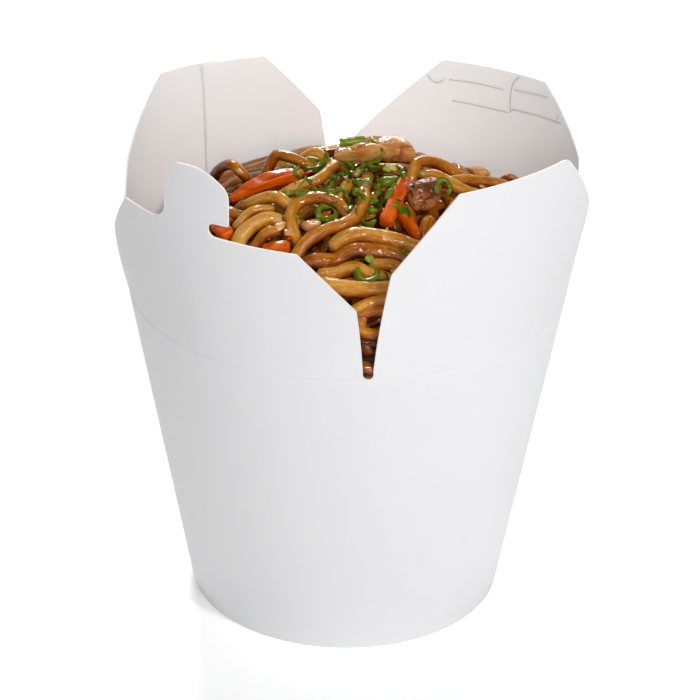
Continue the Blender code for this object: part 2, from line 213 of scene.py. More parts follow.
def makeBoardGroup():
    # paper fibres: fine noise for the surface, and a soft cloudiness in the colour
    tree, given, out = group(
        "boardGrain",
        [("Place", "NodeSocketVector", None), ("Colour", "NodeSocketColor", (0.8, 0.8, 0.8, 1)), ("Bump", "NodeSocketFloat", 0.06)],
        [("Colour", "NodeSocketColor"), ("Normal", "NodeSocketVector"), ("Roughness", "NodeSocketFloat")],
    )
    place = given.outputs["Place"]
    fibre = noiseNode(tree, place, boardLook["fibreSize"], 3, 0.6)
    cloud = noiseNode(tree, place, 90, 4, 0.6)
    shade = mathNode(tree, "MULTIPLY_ADD", cloud, 2 * boardLook["mottle"], 1 - boardLook["mottle"])
    shade = mathNode(tree, "MULTIPLY_ADD", fibre, 0.03, mathNode(tree, "SUBTRACT", shade, 0.015))
    tinted = mixNode(tree, 1.0, given.outputs["Colour"], shade, "MULTIPLY")
    tree.links.new(tinted, out.inputs["Colour"])
    bump = tree.nodes.new("ShaderNodeBump")
    bump.inputs["Distance"].default_value = 0.0002
    tree.links.new(given.outputs["Bump"], bump.inputs["Strength"])
    height = mathNode(tree, "ADD", fibre, mathNode(tree, "MULTIPLY", noiseNode(tree, place, 500, 3), 0.6))
    tree.links.new(height, bump.inputs["Height"])
    tree.links.new(bump.outputs["Normal"], out.inputs["Normal"])
    rough = mathNode(tree, "MULTIPLY_ADD", cloud, 0.12, 0.46)
    tree.links.new(rough, out.inputs["Roughness"])


def boardMaterial(name, colour, bump, specular, through=0.0):
    material, tree, shader = newMaterial(name)
    shader.inputs["Specular IOR Level"].default_value = specular
    node = useGroup(tree, "boardGrain", objectPlace(tree), Colour=(*colour, 1), Bump=bump)
    tree.links.new(node.outputs["Colour"], shader.inputs["Base Color"])
    tree.links.new(node.outputs["Normal"], shader.inputs["Normal"])
    tree.links.new(node.outputs["Roughness"], shader.inputs["Roughness"])
    shader.inputs["Subsurface Weight"].default_value = through
    shader.inputs["Subsurface Radius"].default_value = (1.0, 0.98, 0.96)
    shader.inputs["Subsurface Scale"].default_value = 0.0012
    return material


makeBoardGroup()
boardOutside = boardMaterial("boardOutside", boardLook["outside"], boardLook["bump"], 0.35)
# the inner face's lighter colour is partly painted light
boardInsidePaintedLight = boardMaterial("boardInsidePaintedLight", boardLook["inside"], boardLook["bump"], 0.3, boardLook["through"])
boardEdge = boardMaterial("boardCutEdge", boardLook["cutEdge"], 0.2, 0.1)
boardFaces = [boardOutside, boardInsidePaintedLight, boardEdge]
print("board materials made")


# the box

box = {
    "board": 0.5, "gap": 0.3, "footRadius": 40.2, "scoreRadius": 57.0, "scoreHeight": 89.0,
    "hemHeight": 7.0, "baseHeight": 8.5, "guideHeight": 45.0, "notchRadius": 1.9, "notchFoot": 0.5,
    "columnStep": 1.25, "flapRows": 26, "wallRows": 34,
    "scorePress": 0.17,  # depth of the pressed score line
    "creaseAngle": -84.6, "creasePress": 0.05,  # soft upright crease under the front notch
    "lapAngle": 146.0, "lapStep": 0.42, "lapWidth": 24.0,  # glued upright lap of the wall
}
halfArc = box["scoreRadius"] * math.pi / 4

# lean and spread bend each flap; corners are its cut outline: across, up, fillet
flaps = {
    "flap_tab": {
        "facing": -129.5, "lean": (60.97, -5.44, -17.84), "spread": (0.9, 50.2),
        "right": [(38.2, 20.8, 1.5), (24.1, 36.0, 0.8), (3.4, 36.3, 1.85)],
        "tab": [(3.4, 40.2, 1.85), (8.6, 40.4, 0.4), (8.6, 50.5, 5.5), (2.5, 55.4, 8.0), (-5.2, 54.9, 3.5),
                (-8.9, 45.5, 6.0), (-8.9, 36.1, 5.2)],
        "left": [(-23.7, 36.1, 0.8), (-34.8, 21.7, 1.5)],
    },
    "flap_plain": {
        "facing": -39.5, "lean": (54.87, 11.11, -15.61), "spread": (0.57, 47.69),
        "right": [(33.8, 24.4, 1.5), (15.6, 45.7, 4.0), (-15.8, 45.9, 0.8), (-33.3, 27.7, 1.5)],
    },
    "flap_seamed": {
        "facing": 140.5, "lean": (49.27, 12.68, -19.98), "spread": (-0.59, 45.64),
        "right": [(32.3, 28.6, 1.5), (14.7, 46.6, 0.8), (-2.6, 44.5, 0.2), (-3.2, 43.8, 0.2), (-15.9, 42.7, 0.8),
                  (-33.7, 22.4, 1.5)],
    },
    "flap_slotted": {
        "facing": 50.5, "lean": (57.9, -8.78, -16.37), "spread": (-1.12, 48.25),
        "right": [(37.6, 9.8, 1.5), (13.0, 37.5, 0.8), (-15.7, 39.3, 0.8), (-33.8, 24.9, 1.5)],
    },
}


def wallRadius(height):
    return box["footRadius"] + (box["scoreRadius"] - box["footRadius"]) * height / box["scoreHeight"]


def flapSurface(flap, across, up):
    # straight lines run from the score circle to a guide line above: point = foot + (guide - foot) * up / guideHeight,
    # and the normal is the cross product of the two directions along the surface
    share = across / halfArc
    angle = share * math.pi / 4
    lean, spread = flap["lean"], flap["spread"]
    foot = box["scoreRadius"] * np.stack([np.cos(angle), np.sin(angle)], -1)
    guide = np.stack([lean[0] + lean[1] * share + lean[2] * share**2, spread[0] + spread[1] * share], -1)
    footRun = halfArc * np.stack([-np.sin(angle), np.cos(angle)], -1)
    guideRun = np.stack([lean[1] + 2 * lean[2] * share, np.full_like(share, spread[1])], -1)
    part = (up / box["guideHeight"])[..., None]
    place, run, rise = foot + (guide - foot) * part, footRun + (guideRun - footRun) * part, (guide - foot) / box["guideHeight"]
    zero = np.zeros(share.shape)
    normal = unit(np.cross(np.stack([run[..., 0], run[..., 1], zero], -1), np.stack([rise[..., 0], rise[..., 1], zero + 1], -1)))
    c, s = math.cos(math.radians(flap["facing"])), math.sin(math.radians(flap["facing"]))
    turn = np.array([[c, s, 0], [-s, c, 0], [0, 0, 1]])
    points = np.concatenate([place, (box["scoreHeight"] + up)[..., None]], -1)
    return points @ turn, normal @ turn


def roundedLine(corners):
    # each corner replaced by an arc that touches both its sides
    corners = [np.array(c, dtype=float) for c in corners]
    line = [corners[0][:2]]
    for before, corner, after in zip(corners, corners[1:], corners[2:]):
        toBefore, toAfter = unit(before[:2] - corner[:2]), unit(after[:2] - corner[:2])
        opening = math.acos(np.clip(toBefore @ toAfter, -1, 1))
        reach = corner[2] / math.tan(opening / 2)
        centre = corner[:2] + unit(toBefore + toAfter) * corner[2] / math.sin(opening / 2)
        start, end = corner[:2] + toBefore * reach - centre, corner[:2] + toAfter * reach - centre
        turn = math.atan2(start[0] * end[1] - start[1] * end[0], start @ end)
        steps = max(3, math.ceil(abs(turn) / math.radians(9)))
        for k in range(steps + 1):
            c, s = math.cos(turn * k / steps), math.sin(turn * k / steps)
            line.append(centre + np.array([c * start[0] - s * start[1], s * start[0] + c * start[1]]))
    return np.array(line + [corners[-1][:2]])


def notchLine(side):
    # the quarter circle at the foot of a slit, from the slit's lowest point up
    angle = np.linspace(0.04, math.pi / 2, 12)
    across = halfArc - box["notchRadius"] * np.sin(angle)
    return np.stack([side * across, box["notchFoot"] + box["notchRadius"] * (1 - np.cos(angle))], -1)


def fallingLine(line):
    # the line as a function of the place across: from right to left, an upright stretch leaning by a hair
    across = np.minimum.accumulate(line[:, 0] - np.arange(len(line)) * 1e-4)
    across = across - np.arange(len(line)) * 1e-4
    return across[::-1], line[::-1, 1]


def flapBands(flap):
    # the lower and upper edge of each band of the flap as functions of the place across
    right, left = notchLine(1), notchLine(-1)[::-1]
    if "tab" not in flap:
        line = roundedLine([(*right[-1], 0)] + flap["right"] + [(*left[0], 0)])
        return [(None, np.concatenate([right, line[1:-1], left]))]
    whole = roundedLine([(*right[-1], 0)] + flap["right"] + flap["tab"] + flap["left"] + [(*left[0], 0)])
    whole = np.concatenate([right, whole[1:-1], left])
    slotEnd = np.argmin(np.where(whole[:, 1] > 37, np.abs(whole[:, 0] - 3.4) + np.abs(whole[:, 1] - 38.2), 99))
    tabLip = np.argmax(np.where(whole[:, 1] > 40.7, whole[:, 0], -99))
    tabFoot = np.flatnonzero((whole[:, 0] < -8.8) & (whole[:, 1] < 41.5))[0]
    lower = np.concatenate([whole[:slotEnd + 1], whole[tabFoot:]])
    under = np.concatenate([whole[slotEnd:tabLip + 1][::-1], whole[tabFoot:tabFoot + 1]])
    return [(None, lower), (under, whole[tabLip:tabFoot + 1])]


def flapColumns(bands):
    columns = [np.linspace(-halfArc, halfArc, int(2 * halfArc / box["columnStep"]) + 1)]
    columns += [fallingLine(line)[0] for band in bands for line in band if line is not None]
    columns = np.sort(np.concatenate(columns))
    keep = np.concatenate([[True], np.diff(columns) > 5e-5])
    return columns[keep]


def sheetSolid(points, normals, faces, thick):
    # a second layer behind the first and turned round, and a rim along every side that only one face has
    count = len(points)
    sides = np.concatenate([faces[:, [k, (k + 1) % 4]] for k in range(4)])
    sides = sides[sides[:, 0] != sides[:, 1]]
    _, first, uses = np.unique(np.sort(sides, axis=1), axis=0, return_index=True, return_counts=True)
    border = sides[first[uses == 1]]
    rim = np.stack([border[:, 1], border[:, 0], border[:, 0] + count, border[:, 1] + count], -1)
    allFaces = np.concatenate([faces, faces[:, ::-1] + count, rim])
    groups = np.repeat([0, 1, 2], [len(faces), len(faces), len(rim)])
    return np.concatenate([points, points - normals * np.reshape(thick, (-1, 1))]), allFaces, groups


def ribbonOnFlap(flap, route, width, lift):
    # a low closed strip along a route on the inner face, its cross section a shallow hump that fades out at both ends
    line = smoothPath(route, 0.5)
    along = unit(np.gradient(line, axis=0))
    side = np.stack([-along[:, 1], along[:, 0]], -1)
    across = np.linspace(-1, 1, 7)
    spots = line[:, None, :] + side[:, None, :] * (across * width / 2)[None, :, None]
    ends = np.minimum(1, np.minimum(np.arange(len(line)), np.arange(len(line))[::-1]) / 3)
    hump = lift * (np.cos(across * math.pi) + 1)[None, :] / 2 * ends[:, None] + 0.012
    points, normals = flapSurface(flap, spots[..., 0], spots[..., 1])
    points = (points - normals * (box["board"] + hump)[..., None]).reshape(-1, 3)
    faces = gridFaces(len(line), 7)
    first = points[faces[0]]
    if np.cross(first[1] - first[0], first[2] - first[1]) @ normals[0, 0] > 0:
        faces = faces[:, ::-1]
    points, faces, _ = sheetSolid(points, -normals.reshape(-1, 3), faces, hump.ravel() + 0.01)
    return points, faces


def makeFlap(name, body):
    flap = flaps[name]
    bands = flapBands(flap)
    columns = flapColumns(bands)
    rows = np.linspace(0, 1, box["flapRows"])[:, None]
    points, normals, faces, count = [], [], [], 0
    for under, line in bands:
        here = columns
        if under is not None:
            here = columns[(columns >= max(line[:, 0].min(), under[:, 0].min()) - 1e-3) & (columns <= line[:, 0].max() + 1e-3)]
        top = np.interp(here, *fallingLine(line))
        if under is None:
            top[[0, -1]] = box["notchFoot"]
            bottom = np.full(len(here), box["notchFoot"])
        else:
            bottom = np.interp(here, *fallingLine(under))
            below = np.interp(here, *fallingLine(bands[0][1]))
            bottom = np.where(np.abs(bottom - below) < 0.05, below, bottom)  # the bands share their border
            top = np.maximum(top, bottom)
        up = bottom + (top - bottom) * rows
        place, normal = flapSurface(flap, np.broadcast_to(here, up.shape), up)
        points.append(place.reshape(-1, 3)); normals.append(normal.reshape(-1, 3))
        faces.append(gridFaces(len(rows), len(here), start=count))
        count += up.size
    points, normals, faces = np.concatenate(points), np.concatenate(normals), np.concatenate(faces)
    first, faces = weld(points, faces)
    points, normals = points[first], normals[first]
    faces = faces[(faces != np.roll(faces, -1, axis=1)).sum(axis=1) >= 3]
    points, faces, groups = sheetSolid(points, normals, faces, box["board"])
    faces, good = plainFaces(faces)
    obj = putMesh(name + "_board", points, faces, boardFaces, groups[good], sharp=32)
    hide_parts(name)
    return obj, body, columns


def makeWall(columns):
    # the cone turned from foot to score, then a short strip that already leans as each flap does;
    # the score is pressed in, and the board is lapped at the back by a step that fades out along the turn
    fold = box["footRadius"]
    channel = 2 * box["board"] + 2 * box["gap"]
    angle = np.concatenate([np.radians(flaps[name]["facing"]) + column[:-1] / box["scoreRadius"] for name, column in columns.items()])
    order = np.argsort(np.mod(angle + math.pi, 2 * math.pi))
    angle = angle[order]
    turn = np.linspace(0, 1, 9)
    footAngle = turn * math.pi / 2
    corner = 0.45
    outside = [(fold - corner + corner * math.sin(a) + corner * 0.02, corner - corner * math.cos(a)) for a in footAngle]
    heights = np.concatenate([np.linspace(1.2, 86, box["wallRows"]), [87.4, 88.0, 88.3, 88.55, 88.75, 88.9, 89.0]])
    outside += [(wallRadius(h), h) for h in heights]
    inside = [(wallRadius(h) - box["board"], h) for h in np.concatenate([[89.0, 88.0], np.linspace(84, 1.0, 22)])]
    inside += [(wallRadius(box["board"]) - box["board"] - 0.15, box["board"] + 0.02)]
    hem = [(wallRadius(box["board"]) - channel + 0.15, box["board"] + 0.02)]
    hem += [(wallRadius(h) - channel, h) for h in (1.0, 3.0, 5.0, box["hemHeight"] - 0.05)]
    hem += [(wallRadius(h) - channel - box["board"], h) for h in (box["hemHeight"] - 0.05, 5.0, 3.0, 1.0)]
    inner = fold - channel - box["board"]
    hem += [(inner + corner * (1 - math.sin(a)), corner - corner * math.cos(a)) for a in footAngle[::-1]]
    profile = np.array(outside + inside + hem)
    rows = len(profile)
    radius = np.broadcast_to(profile[:, :1], (rows, len(angle))).copy()
    height = np.broadcast_to(profile[:, 1:], (rows, len(angle))).copy()
    isOutside = np.zeros(rows, bool)
    isOutside[:len(outside)] = True
    score = np.exp(-((height - 89.0) / 0.4) ** 2) * box["scorePress"]
    crease = np.exp(-(np.angle(np.exp(1j * (angle - math.radians(box["creaseAngle"])))) * 50 / 0.7) ** 2)
    crease = crease * np.clip((height - 38) / 12, 0, 1) * np.clip((84 - height) / 8, 0, 1) * box["creasePress"]
    lapTurn = np.mod(angle - math.radians(box["lapAngle"]), 2 * math.pi) * 48
    lap = np.clip(1 - lapTurn / box["lapWidth"], 0, 1) ** 2 * box["lapStep"] * np.clip(height / 2, 0, 1)
    radius = np.where(isOutside[:, None], radius - score - crease + lap, radius)
    points = np.stack([radius * np.cos(angle), radius * np.sin(angle), height], -1)
    # the strip above the score
    strip = []
    for depth in (0.0, box["board"]):
        places = [flapSurface(flaps[name], column[:-1], np.full(len(column) - 1, box["notchFoot"])) for name, column in columns.items()]
        place = np.concatenate([p - n * depth for p, n in places])[order]
        strip.append(place)
    top = len(outside)
    points = np.concatenate([points[:top], strip[0][None], strip[1][None], points[top:]])
    faces = gridFaces(len(points) + 0, len(angle), closed=True)
    # close the loop from the last row back to the first
    last = (len(points) - 1) * len(angle)
    j = np.arange(len(angle))
    k = (j + 1) % len(angle)
    faces = np.concatenate([faces, np.stack([last + j, last + k, k, j], -1)])
    groups = np.zeros(len(faces), int)
    row = np.arange(len(faces)) // len(angle)
    groups[(row > top) & (row < top + len(inside) + 2)] = 1
    groups[row == top] = 2
    obj = putMesh("wall_board", points.reshape(-1, 3), faces.tolist(), boardFaces, groups, sharp=50)
    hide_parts("cup_wall")
    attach(obj, "box")
    return obj


def makeBase():
    # a flat disc whose rim bends down into the hem, turned about the axis
    inset, top = box["board"] + box["gap"], box["baseHeight"]
    rimFoot = inset
    bend = np.linspace(0, math.pi / 2, 6)
    edge = wallRadius(top) - inset
    upper = [(0.0, top), (12, top), (26, top)] + [(edge - 0.8 + 0.8 * math.sin(a), top - 0.8 + 0.8 * math.cos(a)) for a in bend]
    upper += [(wallRadius(h) - inset, h) for h in (4.0, rimFoot)]
    lower = [(wallRadius(h) - inset - box["board"], h) for h in (rimFoot, 4.0)]
    lower += [(edge - 0.8 + 0.3 * math.sin(a), top - 0.8 + 0.3 * math.cos(a)) for a in bend[::-1]]
    lower += [(26, top - box["board"]), (12, top - box["board"]), (0.0, top - box["board"])]
    profile = np.array(upper + lower)
    angle = np.linspace(0, 2 * math.pi, 144, endpoint=False)
    points = np.stack([profile[:, :1] * np.cos(angle), profile[:, :1] * np.sin(angle), profile[:, 1:] + 0 * angle], -1).reshape(-1, 3)
    first, faces = weld(points, gridFaces(len(profile), len(angle), closed=True)[:, ::-1])
    faces, good = plainFaces(faces)
    obj = putMesh("base_board", points[first], faces, [boardInsidePaintedLight], sharp=60)
    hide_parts("base_disc")
    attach(obj, "box")


flapParts = [makeFlap(name, name + "_body") for name in flaps]
makeWall({name: part[2] for name, part in zip(flaps, flapParts)})
makeBase()
for obj, body, _ in flapParts:
    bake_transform(obj)

creases = {
    # thin lines on the inner faces: flap, width, height and route across and up
    "seam_edge": ("flap_seamed", 0.5, 0.05, [(1.6, 44.6), (-0.4, 36.0), (-2.6, 26.0), (-4.8, 16.0), (-6.5, 9.0), (-7.4, 3.0)]),
    "slot_cut": ("flap_slotted", 0.6, 0.09, [(-8.2, 38.4), (-6.9, 36.6), (-6.2, 34.6), (-6.0, 31.0), (-6.4, 27.4)]),
    "slot_score_high": ("flap_slotted", 0.4, 0.025, [(11.4, 32.1), (4.0, 32.7), (-3.9, 33.1)]),
    "slot_score_far": ("flap_slotted", 0.4, 0.025, [(-7.0, 34.0), (-12.0, 34.7), (-17.9, 35.6)]),
    "slot_score_low": ("flap_slotted", 0.4, 0.025, [(10.4, 26.0), (2.0, 26.4), (-6.0, 27.0)]),
    "slot_score_end": ("flap_slotted", 0.4, 0.025, [(-6.8, 28.3), (-15.0, 29.4), (-24.0, 30.8), (-21.9, 30.7), (-22.1, 32.5)]),
    "slot_curl": ("flap_slotted", 0.5, 0.06, [(16.8, 32.4), (15.8, 31.1), (14.8, 30.6), (13.6, 31.0), (12.7, 32.1)]),
}


def makeCreases():
    for name, (flap, width, lift, route) in creases.items():
        points, faces = ribbonOnFlap(flaps[flap], route, width, lift)
        obj = putMesh(name, points, faces.tolist(), [boardEdge])
        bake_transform(obj)


makeCreases()
print("box made")


# the heap: a dome of noodles, its heights kept on a flat grid of cells

heap = {
    "top": 118.0, "fall": 0.0064, "shoulder": 47.0, "shoulderFall": 0.18, "edge": 51.8,
    "cell": 0.5, "reach": 60.0, "coreDepth": 7.5, "seed": 23,
    "squash": 0.86,  # strands that cross press into each other by the rest
    "reachShare": 0.8, "sinkFrom": 2.0, "sink": 3.2,
}
cells = int(2 * heap["reach"] / heap["cell"]) + 1
roof = np.full((cells, cells), 999.0)  # how high the middle of the next strand may lie
surface = np.full((cells, cells), -999.0)  # top of the food so far


def heapHeight(x, y):
    # the top, less a share of the square of the distance from the axis, and falling faster beyond the shoulder
    radius = np.hypot(x, y)
    return heap["top"] - heap["fall"] * radius**2 - heap["shoulderFall"] * np.maximum(0, radius - heap["shoulder"]) ** 2


def onHeap(x, y, over):
    return np.array([x, y, heapHeight(x, y) + over])


def cellAt(field, x, y):
    i = np.clip(np.round((x + heap["reach"]) / heap["cell"]).astype(int), 0, cells - 1)
    j = np.clip(np.round((y + heap["reach"]) / heap["cell"]).astype(int), 0, cells - 1)
    return field[i, j]


def coverCells(path, radius, nextRadius=1.8):
    # below each point the next strand must keep two radii away: roof = height - (r + next) sqrt(1 - (distance / reach)^2),
    # where reach is a share of the two radii, so that strands side by side may touch and press together
    steps = int((np.max(radius) + nextRadius) / heap["cell"]) + 1
    di, dj = (a.ravel() for a in np.meshgrid(np.arange(-steps, steps + 1), np.arange(-steps, steps + 1)))
    middle = np.round((path[:, :2] + heap["reach"]) / heap["cell"]).astype(int)
    i, j = np.clip(middle[:, :1] + di, 0, cells - 1), np.clip(middle[:, 1:] + dj, 0, cells - 1)
    away = (i * heap["cell"] - heap["reach"] - path[:, :1]) ** 2 + (j * heap["cell"] - heap["reach"] - path[:, 1:2]) ** 2
    radius = np.broadcast_to(radius, len(path))[:, None]
    height = np.broadcast_to(path[:, 2:3], away.shape)
    gap = 1 - away / (heap["reachShare"] * (radius + nextRadius)) ** 2
    near = gap > 0
    drop = heap["squash"] * (radius + nextRadius) * np.sqrt(np.maximum(gap, 0))
    np.minimum.at(roof, (i[near], j[near]), (height - drop)[near])
    gap = radius**2 - away
    near = gap > 0
    np.maximum.at(surface, (i[near], j[near]), (height + np.sqrt(np.maximum(gap, 0)))[near])


def settle(route, over, window=5):
    # the strand lies at its own height or at the roof if that is lower; the lowest value within a window, then
    # the average over the same window, bends it smoothly and keeps it under the roof
    wanted = heapHeight(route[:, 0], route[:, 1]) + over
    low = np.minimum(wanted, cellAt(roof, route[:, 0], route[:, 1]))
    padded = np.pad(low, 2 * window, mode="edge")
    lowest = np.lib.stride_tricks.sliding_window_view(padded, 2 * window + 1).min(axis=1)
    height = np.lib.stride_tricks.sliding_window_view(lowest, 2 * window + 1).mean(axis=1)
    return np.column_stack([route[:, :2], height]), wanted - height


# the toppings that lie on the noodles

chicken = {
    # place, height over the dome, turn, rise of its far end in degrees, length x width x height, the browned share and
    # how thin its first end is
    "chicken_strip": {"at": (3.0, 9.5), "over": 1.7, "turn": 6.0, "rise": 15.0, "size": (15.6, 8.2, 7.0), "brown": 0.05, "thin": 0.4},
    "chicken_top": {"at": (10.8, 18.6), "over": 0.9, "turn": -8.0, "rise": -3.0, "size": (15.0, 9.5, 7.0), "brown": 0.22, "thin": 0.1},
    "chicken_browned": {"at": (19.2, -8.8), "over": 1.6, "turn": 35.0, "rise": 0.0, "size": (11.4, 9.0, 7.8), "brown": 0.7, "thin": 0.0},
    "chicken_right": {"at": (33.5, 14.5), "over": 2.2, "turn": -20.0, "rise": -8.0, "size": (6.5, 5.0, 4.0), "brown": 0.1, "thin": 0.2},
    "chicken_left": {"at": (-9.5, -22.0), "over": 0.3, "turn": -25.0, "rise": 0.0, "size": (6.0, 4.0, 3.2), "brown": 0.1, "thin": 0.2},
    "chicken_front": {"at": (25.0, -16.5), "over": 0.4, "turn": 60.0, "rise": 0.0, "size": (6.0, 5.0, 3.6), "brown": 0.3, "thin": 0.0},
}
carrots = {
    # both ends of the middle line, height over the dome, thickness and bow
    "carrot_left": {"from": (-30.3, -4.5), "to": (-13.2, -0.4), "over": 0.6, "thick": 3.7, "bow": 1.3, "taper": 0.5},
    "carrot_upright": {"from": (9.2, -22.0), "to": (14.6, -3.2), "over": 1.2, "thick": 3.7, "bow": 0.9, "taper": -0.12},
    "carrot_low": {"from": (12.8, -17.2), "to": (17.2, -25.0), "over": 1.2, "thick": 2.6, "bow": 0.4, "taper": 0.1},
    "carrot_shoulder": {"from": (-21.5, -27.5), "to": (-14.6, -28.6), "over": 0.2, "thick": 3.0, "bow": 0.3, "taper": 0.1},
    "carrot_slot": {"from": (-33.2, -15.2), "to": (-30.2, -20.8), "over": 0.8, "thick": 3.6, "bow": 0.3, "taper": 0.0},
}


def makeMeatMaterial():
    # pale cooked meat with fine long fibres, browned where the tone is high, wet with sauce; the tone also carries
    # painted shade in the folds, pits and hollows
    material, tree, shader = newMaterial("cookedChicken")
    shader.inputs["Subsurface Weight"].default_value = 0.12
    shader.inputs["Subsurface Radius"].default_value = (0.003, 0.0012, 0.0006)
    shader.inputs["Subsurface Scale"].default_value = 1.0
    shader.inputs["Specular IOR Level"].default_value = 0.15
    shader.inputs["Coat Weight"].default_value = 0.4
    shader.inputs["Coat Roughness"].default_value = 0.1
    place = objectPlace(tree)
    tone = tree.nodes.new("ShaderNodeAttribute")
    tone.attribute_name = "tone"
    patches = noiseNode(tree, place, 260, 4, 0.6)
    fibres = noiseNode(tree, place, 1700, 3, 0.6)
    share = mathNode(tree, "ADD", tone.outputs["Fac"], mathNode(tree, "MULTIPLY_ADD", patches, 0.8, -0.4), clamp=True)
    colour = rampNode(tree, share, [
        (0.0, (0.66, 0.33, 0.10)), (0.25, (0.56, 0.235, 0.052)), (0.5, (0.42, 0.140, 0.025)), (0.8, (0.28, 0.075, 0.013)), (1.0, (0.12, 0.028, 0.005)),
    ])
    shade = mathNode(tree, "MULTIPLY_ADD", fibres, 0.5, 0.75)
    tree.links.new(mixNode(tree, 1.0, colour, shade, "MULTIPLY"), shader.inputs["Base Color"])
    tree.links.new(mathNode(tree, "MULTIPLY_ADD", patches, 0.35, 0.25), shader.inputs["Roughness"])
    bump = tree.nodes.new("ShaderNodeBump")
    bump.inputs["Strength"].default_value = 0.5
    bump.inputs["Distance"].default_value = 0.0006
    tree.links.new(mathNode(tree, "ADD", fibres, patches), bump.inputs["Height"])
    tree.links.new(bump.outputs["Normal"], shader.inputs["Normal"])
    return material


def makeCarrotMaterial():
    # streaks along the baton from the tone, and a glossy wet skin
    material, tree, shader = newMaterial("cookedCarrot")
    shader.inputs["Subsurface Weight"].default_value = 0.15
    shader.inputs["Subsurface Radius"].default_value = (0.004, 0.0012, 0.0004)
    shader.inputs["Subsurface Scale"].default_value = 1.0
    shader.inputs["Specular IOR Level"].default_value = 0.1
    shader.inputs["Coat Weight"].default_value = 0.35
    shader.inputs["Coat Roughness"].default_value = 0.08
    place = objectPlace(tree)
    tone = tree.nodes.new("ShaderNodeAttribute")
    tone.attribute_name = "tone"
    spots = noiseNode(tree, place, 700, 4, 0.6)
    share = mathNode(tree, "MULTIPLY_ADD", spots, 0.5, mathNode(tree, "MULTIPLY_ADD", tone.outputs["Fac"], 0.7, -0.1), clamp=True)
    colour = rampNode(tree, share, [(0.0, (0.36, 0.035, 0.001)), (0.45, (0.58, 0.080, 0.001)), (0.8, (0.70, 0.130, 0.003)), (1.0, (0.80, 0.24, 0.012))])
    tree.links.new(colour, shader.inputs["Base Color"])
    tree.links.new(mathNode(tree, "MULTIPLY_ADD", spots, 0.3, 0.22), shader.inputs["Roughness"])
    bump = tree.nodes.new("ShaderNodeBump")
    bump.inputs["Strength"].default_value = 0.35
    bump.inputs["Distance"].default_value = 0.0003
    tree.links.new(mathNode(tree, "ADD", tone.outputs["Fac"], spots), bump.inputs["Height"])
    tree.links.new(bump.outputs["Normal"], shader.inputs["Normal"])
    return material


meat = makeMeatMaterial()
carrotFlesh = makeCarrotMaterial()


def heapTilt(x, y):
    # turns the upright direction onto the dome's normal
    slope = 2 * heap["fall"]
    normal = Vector((slope * x, slope * y, 1)).normalized()
    return np.array(Vector((0, 0, 1)).rotation_difference(normal).to_matrix())


def facetBall(ball, seed, planes=12, power=8):
    # a rounded crystal: flat cuts at random directions n and distances d, joined by r = (sum of (ball.n / d)^power)^(-1/power)
    random = np.random.default_rng(seed)
    normals = unit(random.normal(size=(planes, 3)))
    normals = np.concatenate([normals, -normals])
    reach = random.uniform(0.72, 1.0, len(normals))
    cut = np.maximum(0, ball @ normals.T / reach) ** power
    body = ball * (cut.sum(-1) ** (-1 / power))[..., None]
    return body / np.abs(body).max(axis=(0, 1))


def makeChicken(name, seed):
    # the crystal shape stretched to the piece's size, thinner at one end, folded along lines where a slow noise
    # changes sign, with a fine long grain and, on the browned piece, pits in its crust
    piece = chicken[name]
    rows, columns = 65, 110
    rise, turn = np.meshgrid(np.linspace(-math.pi / 2, math.pi / 2, rows), np.linspace(0, 2 * math.pi, columns, endpoint=False), indexing="ij")
    ball = np.stack([np.cos(rise) * np.cos(turn), np.cos(rise) * np.sin(turn), np.sin(rise)], -1)
    half = np.array(piece["size"]) / 2
    shape = facetBall(ball, seed, 10, 5)
    thin = 1 - piece["thin"] * np.clip(-shape[..., :1], 0, 1)
    body = shape * half * 0.97 * np.concatenate([np.ones_like(thin), thin, thin], -1)
    fold = softNoise(body * (0.7, 1, 1), 5.2, seed) + 0.2 * softNoise(body, 1.5, seed + 1)
    fold = np.exp(-((fold / 0.09) ** 2))
    grain = softNoise(body * (0.3, 1, 1.2), 0.8, seed + 2) * 0.09 + softNoise(body * (0.4, 1, 1), 0.4, seed + 3) * 0.05
    lumps = softNoise(body, 3.2, seed + 5) * 0.3 + softNoise(body, 1.4, seed + 6) * 0.09
    pits = np.maximum(0, softNoise(body, 0.8, seed + 4) - 0.1) * 1.3 * piece["brown"] ** 2
    push = lumps + grain - 0.4 * fold * min(half) / 4 - pits
    body = body + ball * push[..., None]
    body = body / (1 + np.maximum(0, np.abs(body / half) - 1.0))  # keeps to the block
    turned = Matrix.Rotation(math.radians(piece["turn"]), 3, "Z") @ Matrix.Rotation(math.radians(-piece["rise"]), 3, "Y")
    points = body.reshape(-1, 3) @ (heapTilt(*piece["at"]) @ np.array(turned)).T + onHeap(*piece["at"], piece["over"])
    # the tone is raised in the folds, in the crust's pits and in hollows between lumps and lowered on the bulges:
    # painted shade, and in the folds also a sauce stain
    tone = piece["brown"] + 0.22 * softNoise(body, 3.0, seed + 7) + 0.35 * fold + 0.7 * pits - 0.2 * lumps
    if piece["brown"] > 0.5:
        tone += 0.3 * np.clip(body[..., 2] / half[2] - 0.1, -0.8, 0.6)
    first, faces = weld(points, gridFaces(rows, columns, closed=True))
    faces, _ = plainFaces(faces)
    obj = putMesh(name + "_piece", points[first], faces, [meat], tone=np.clip(tone, 0, 1).ravel()[first])
    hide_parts(name)
    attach(obj, "box")
    coverLump(points, piece)


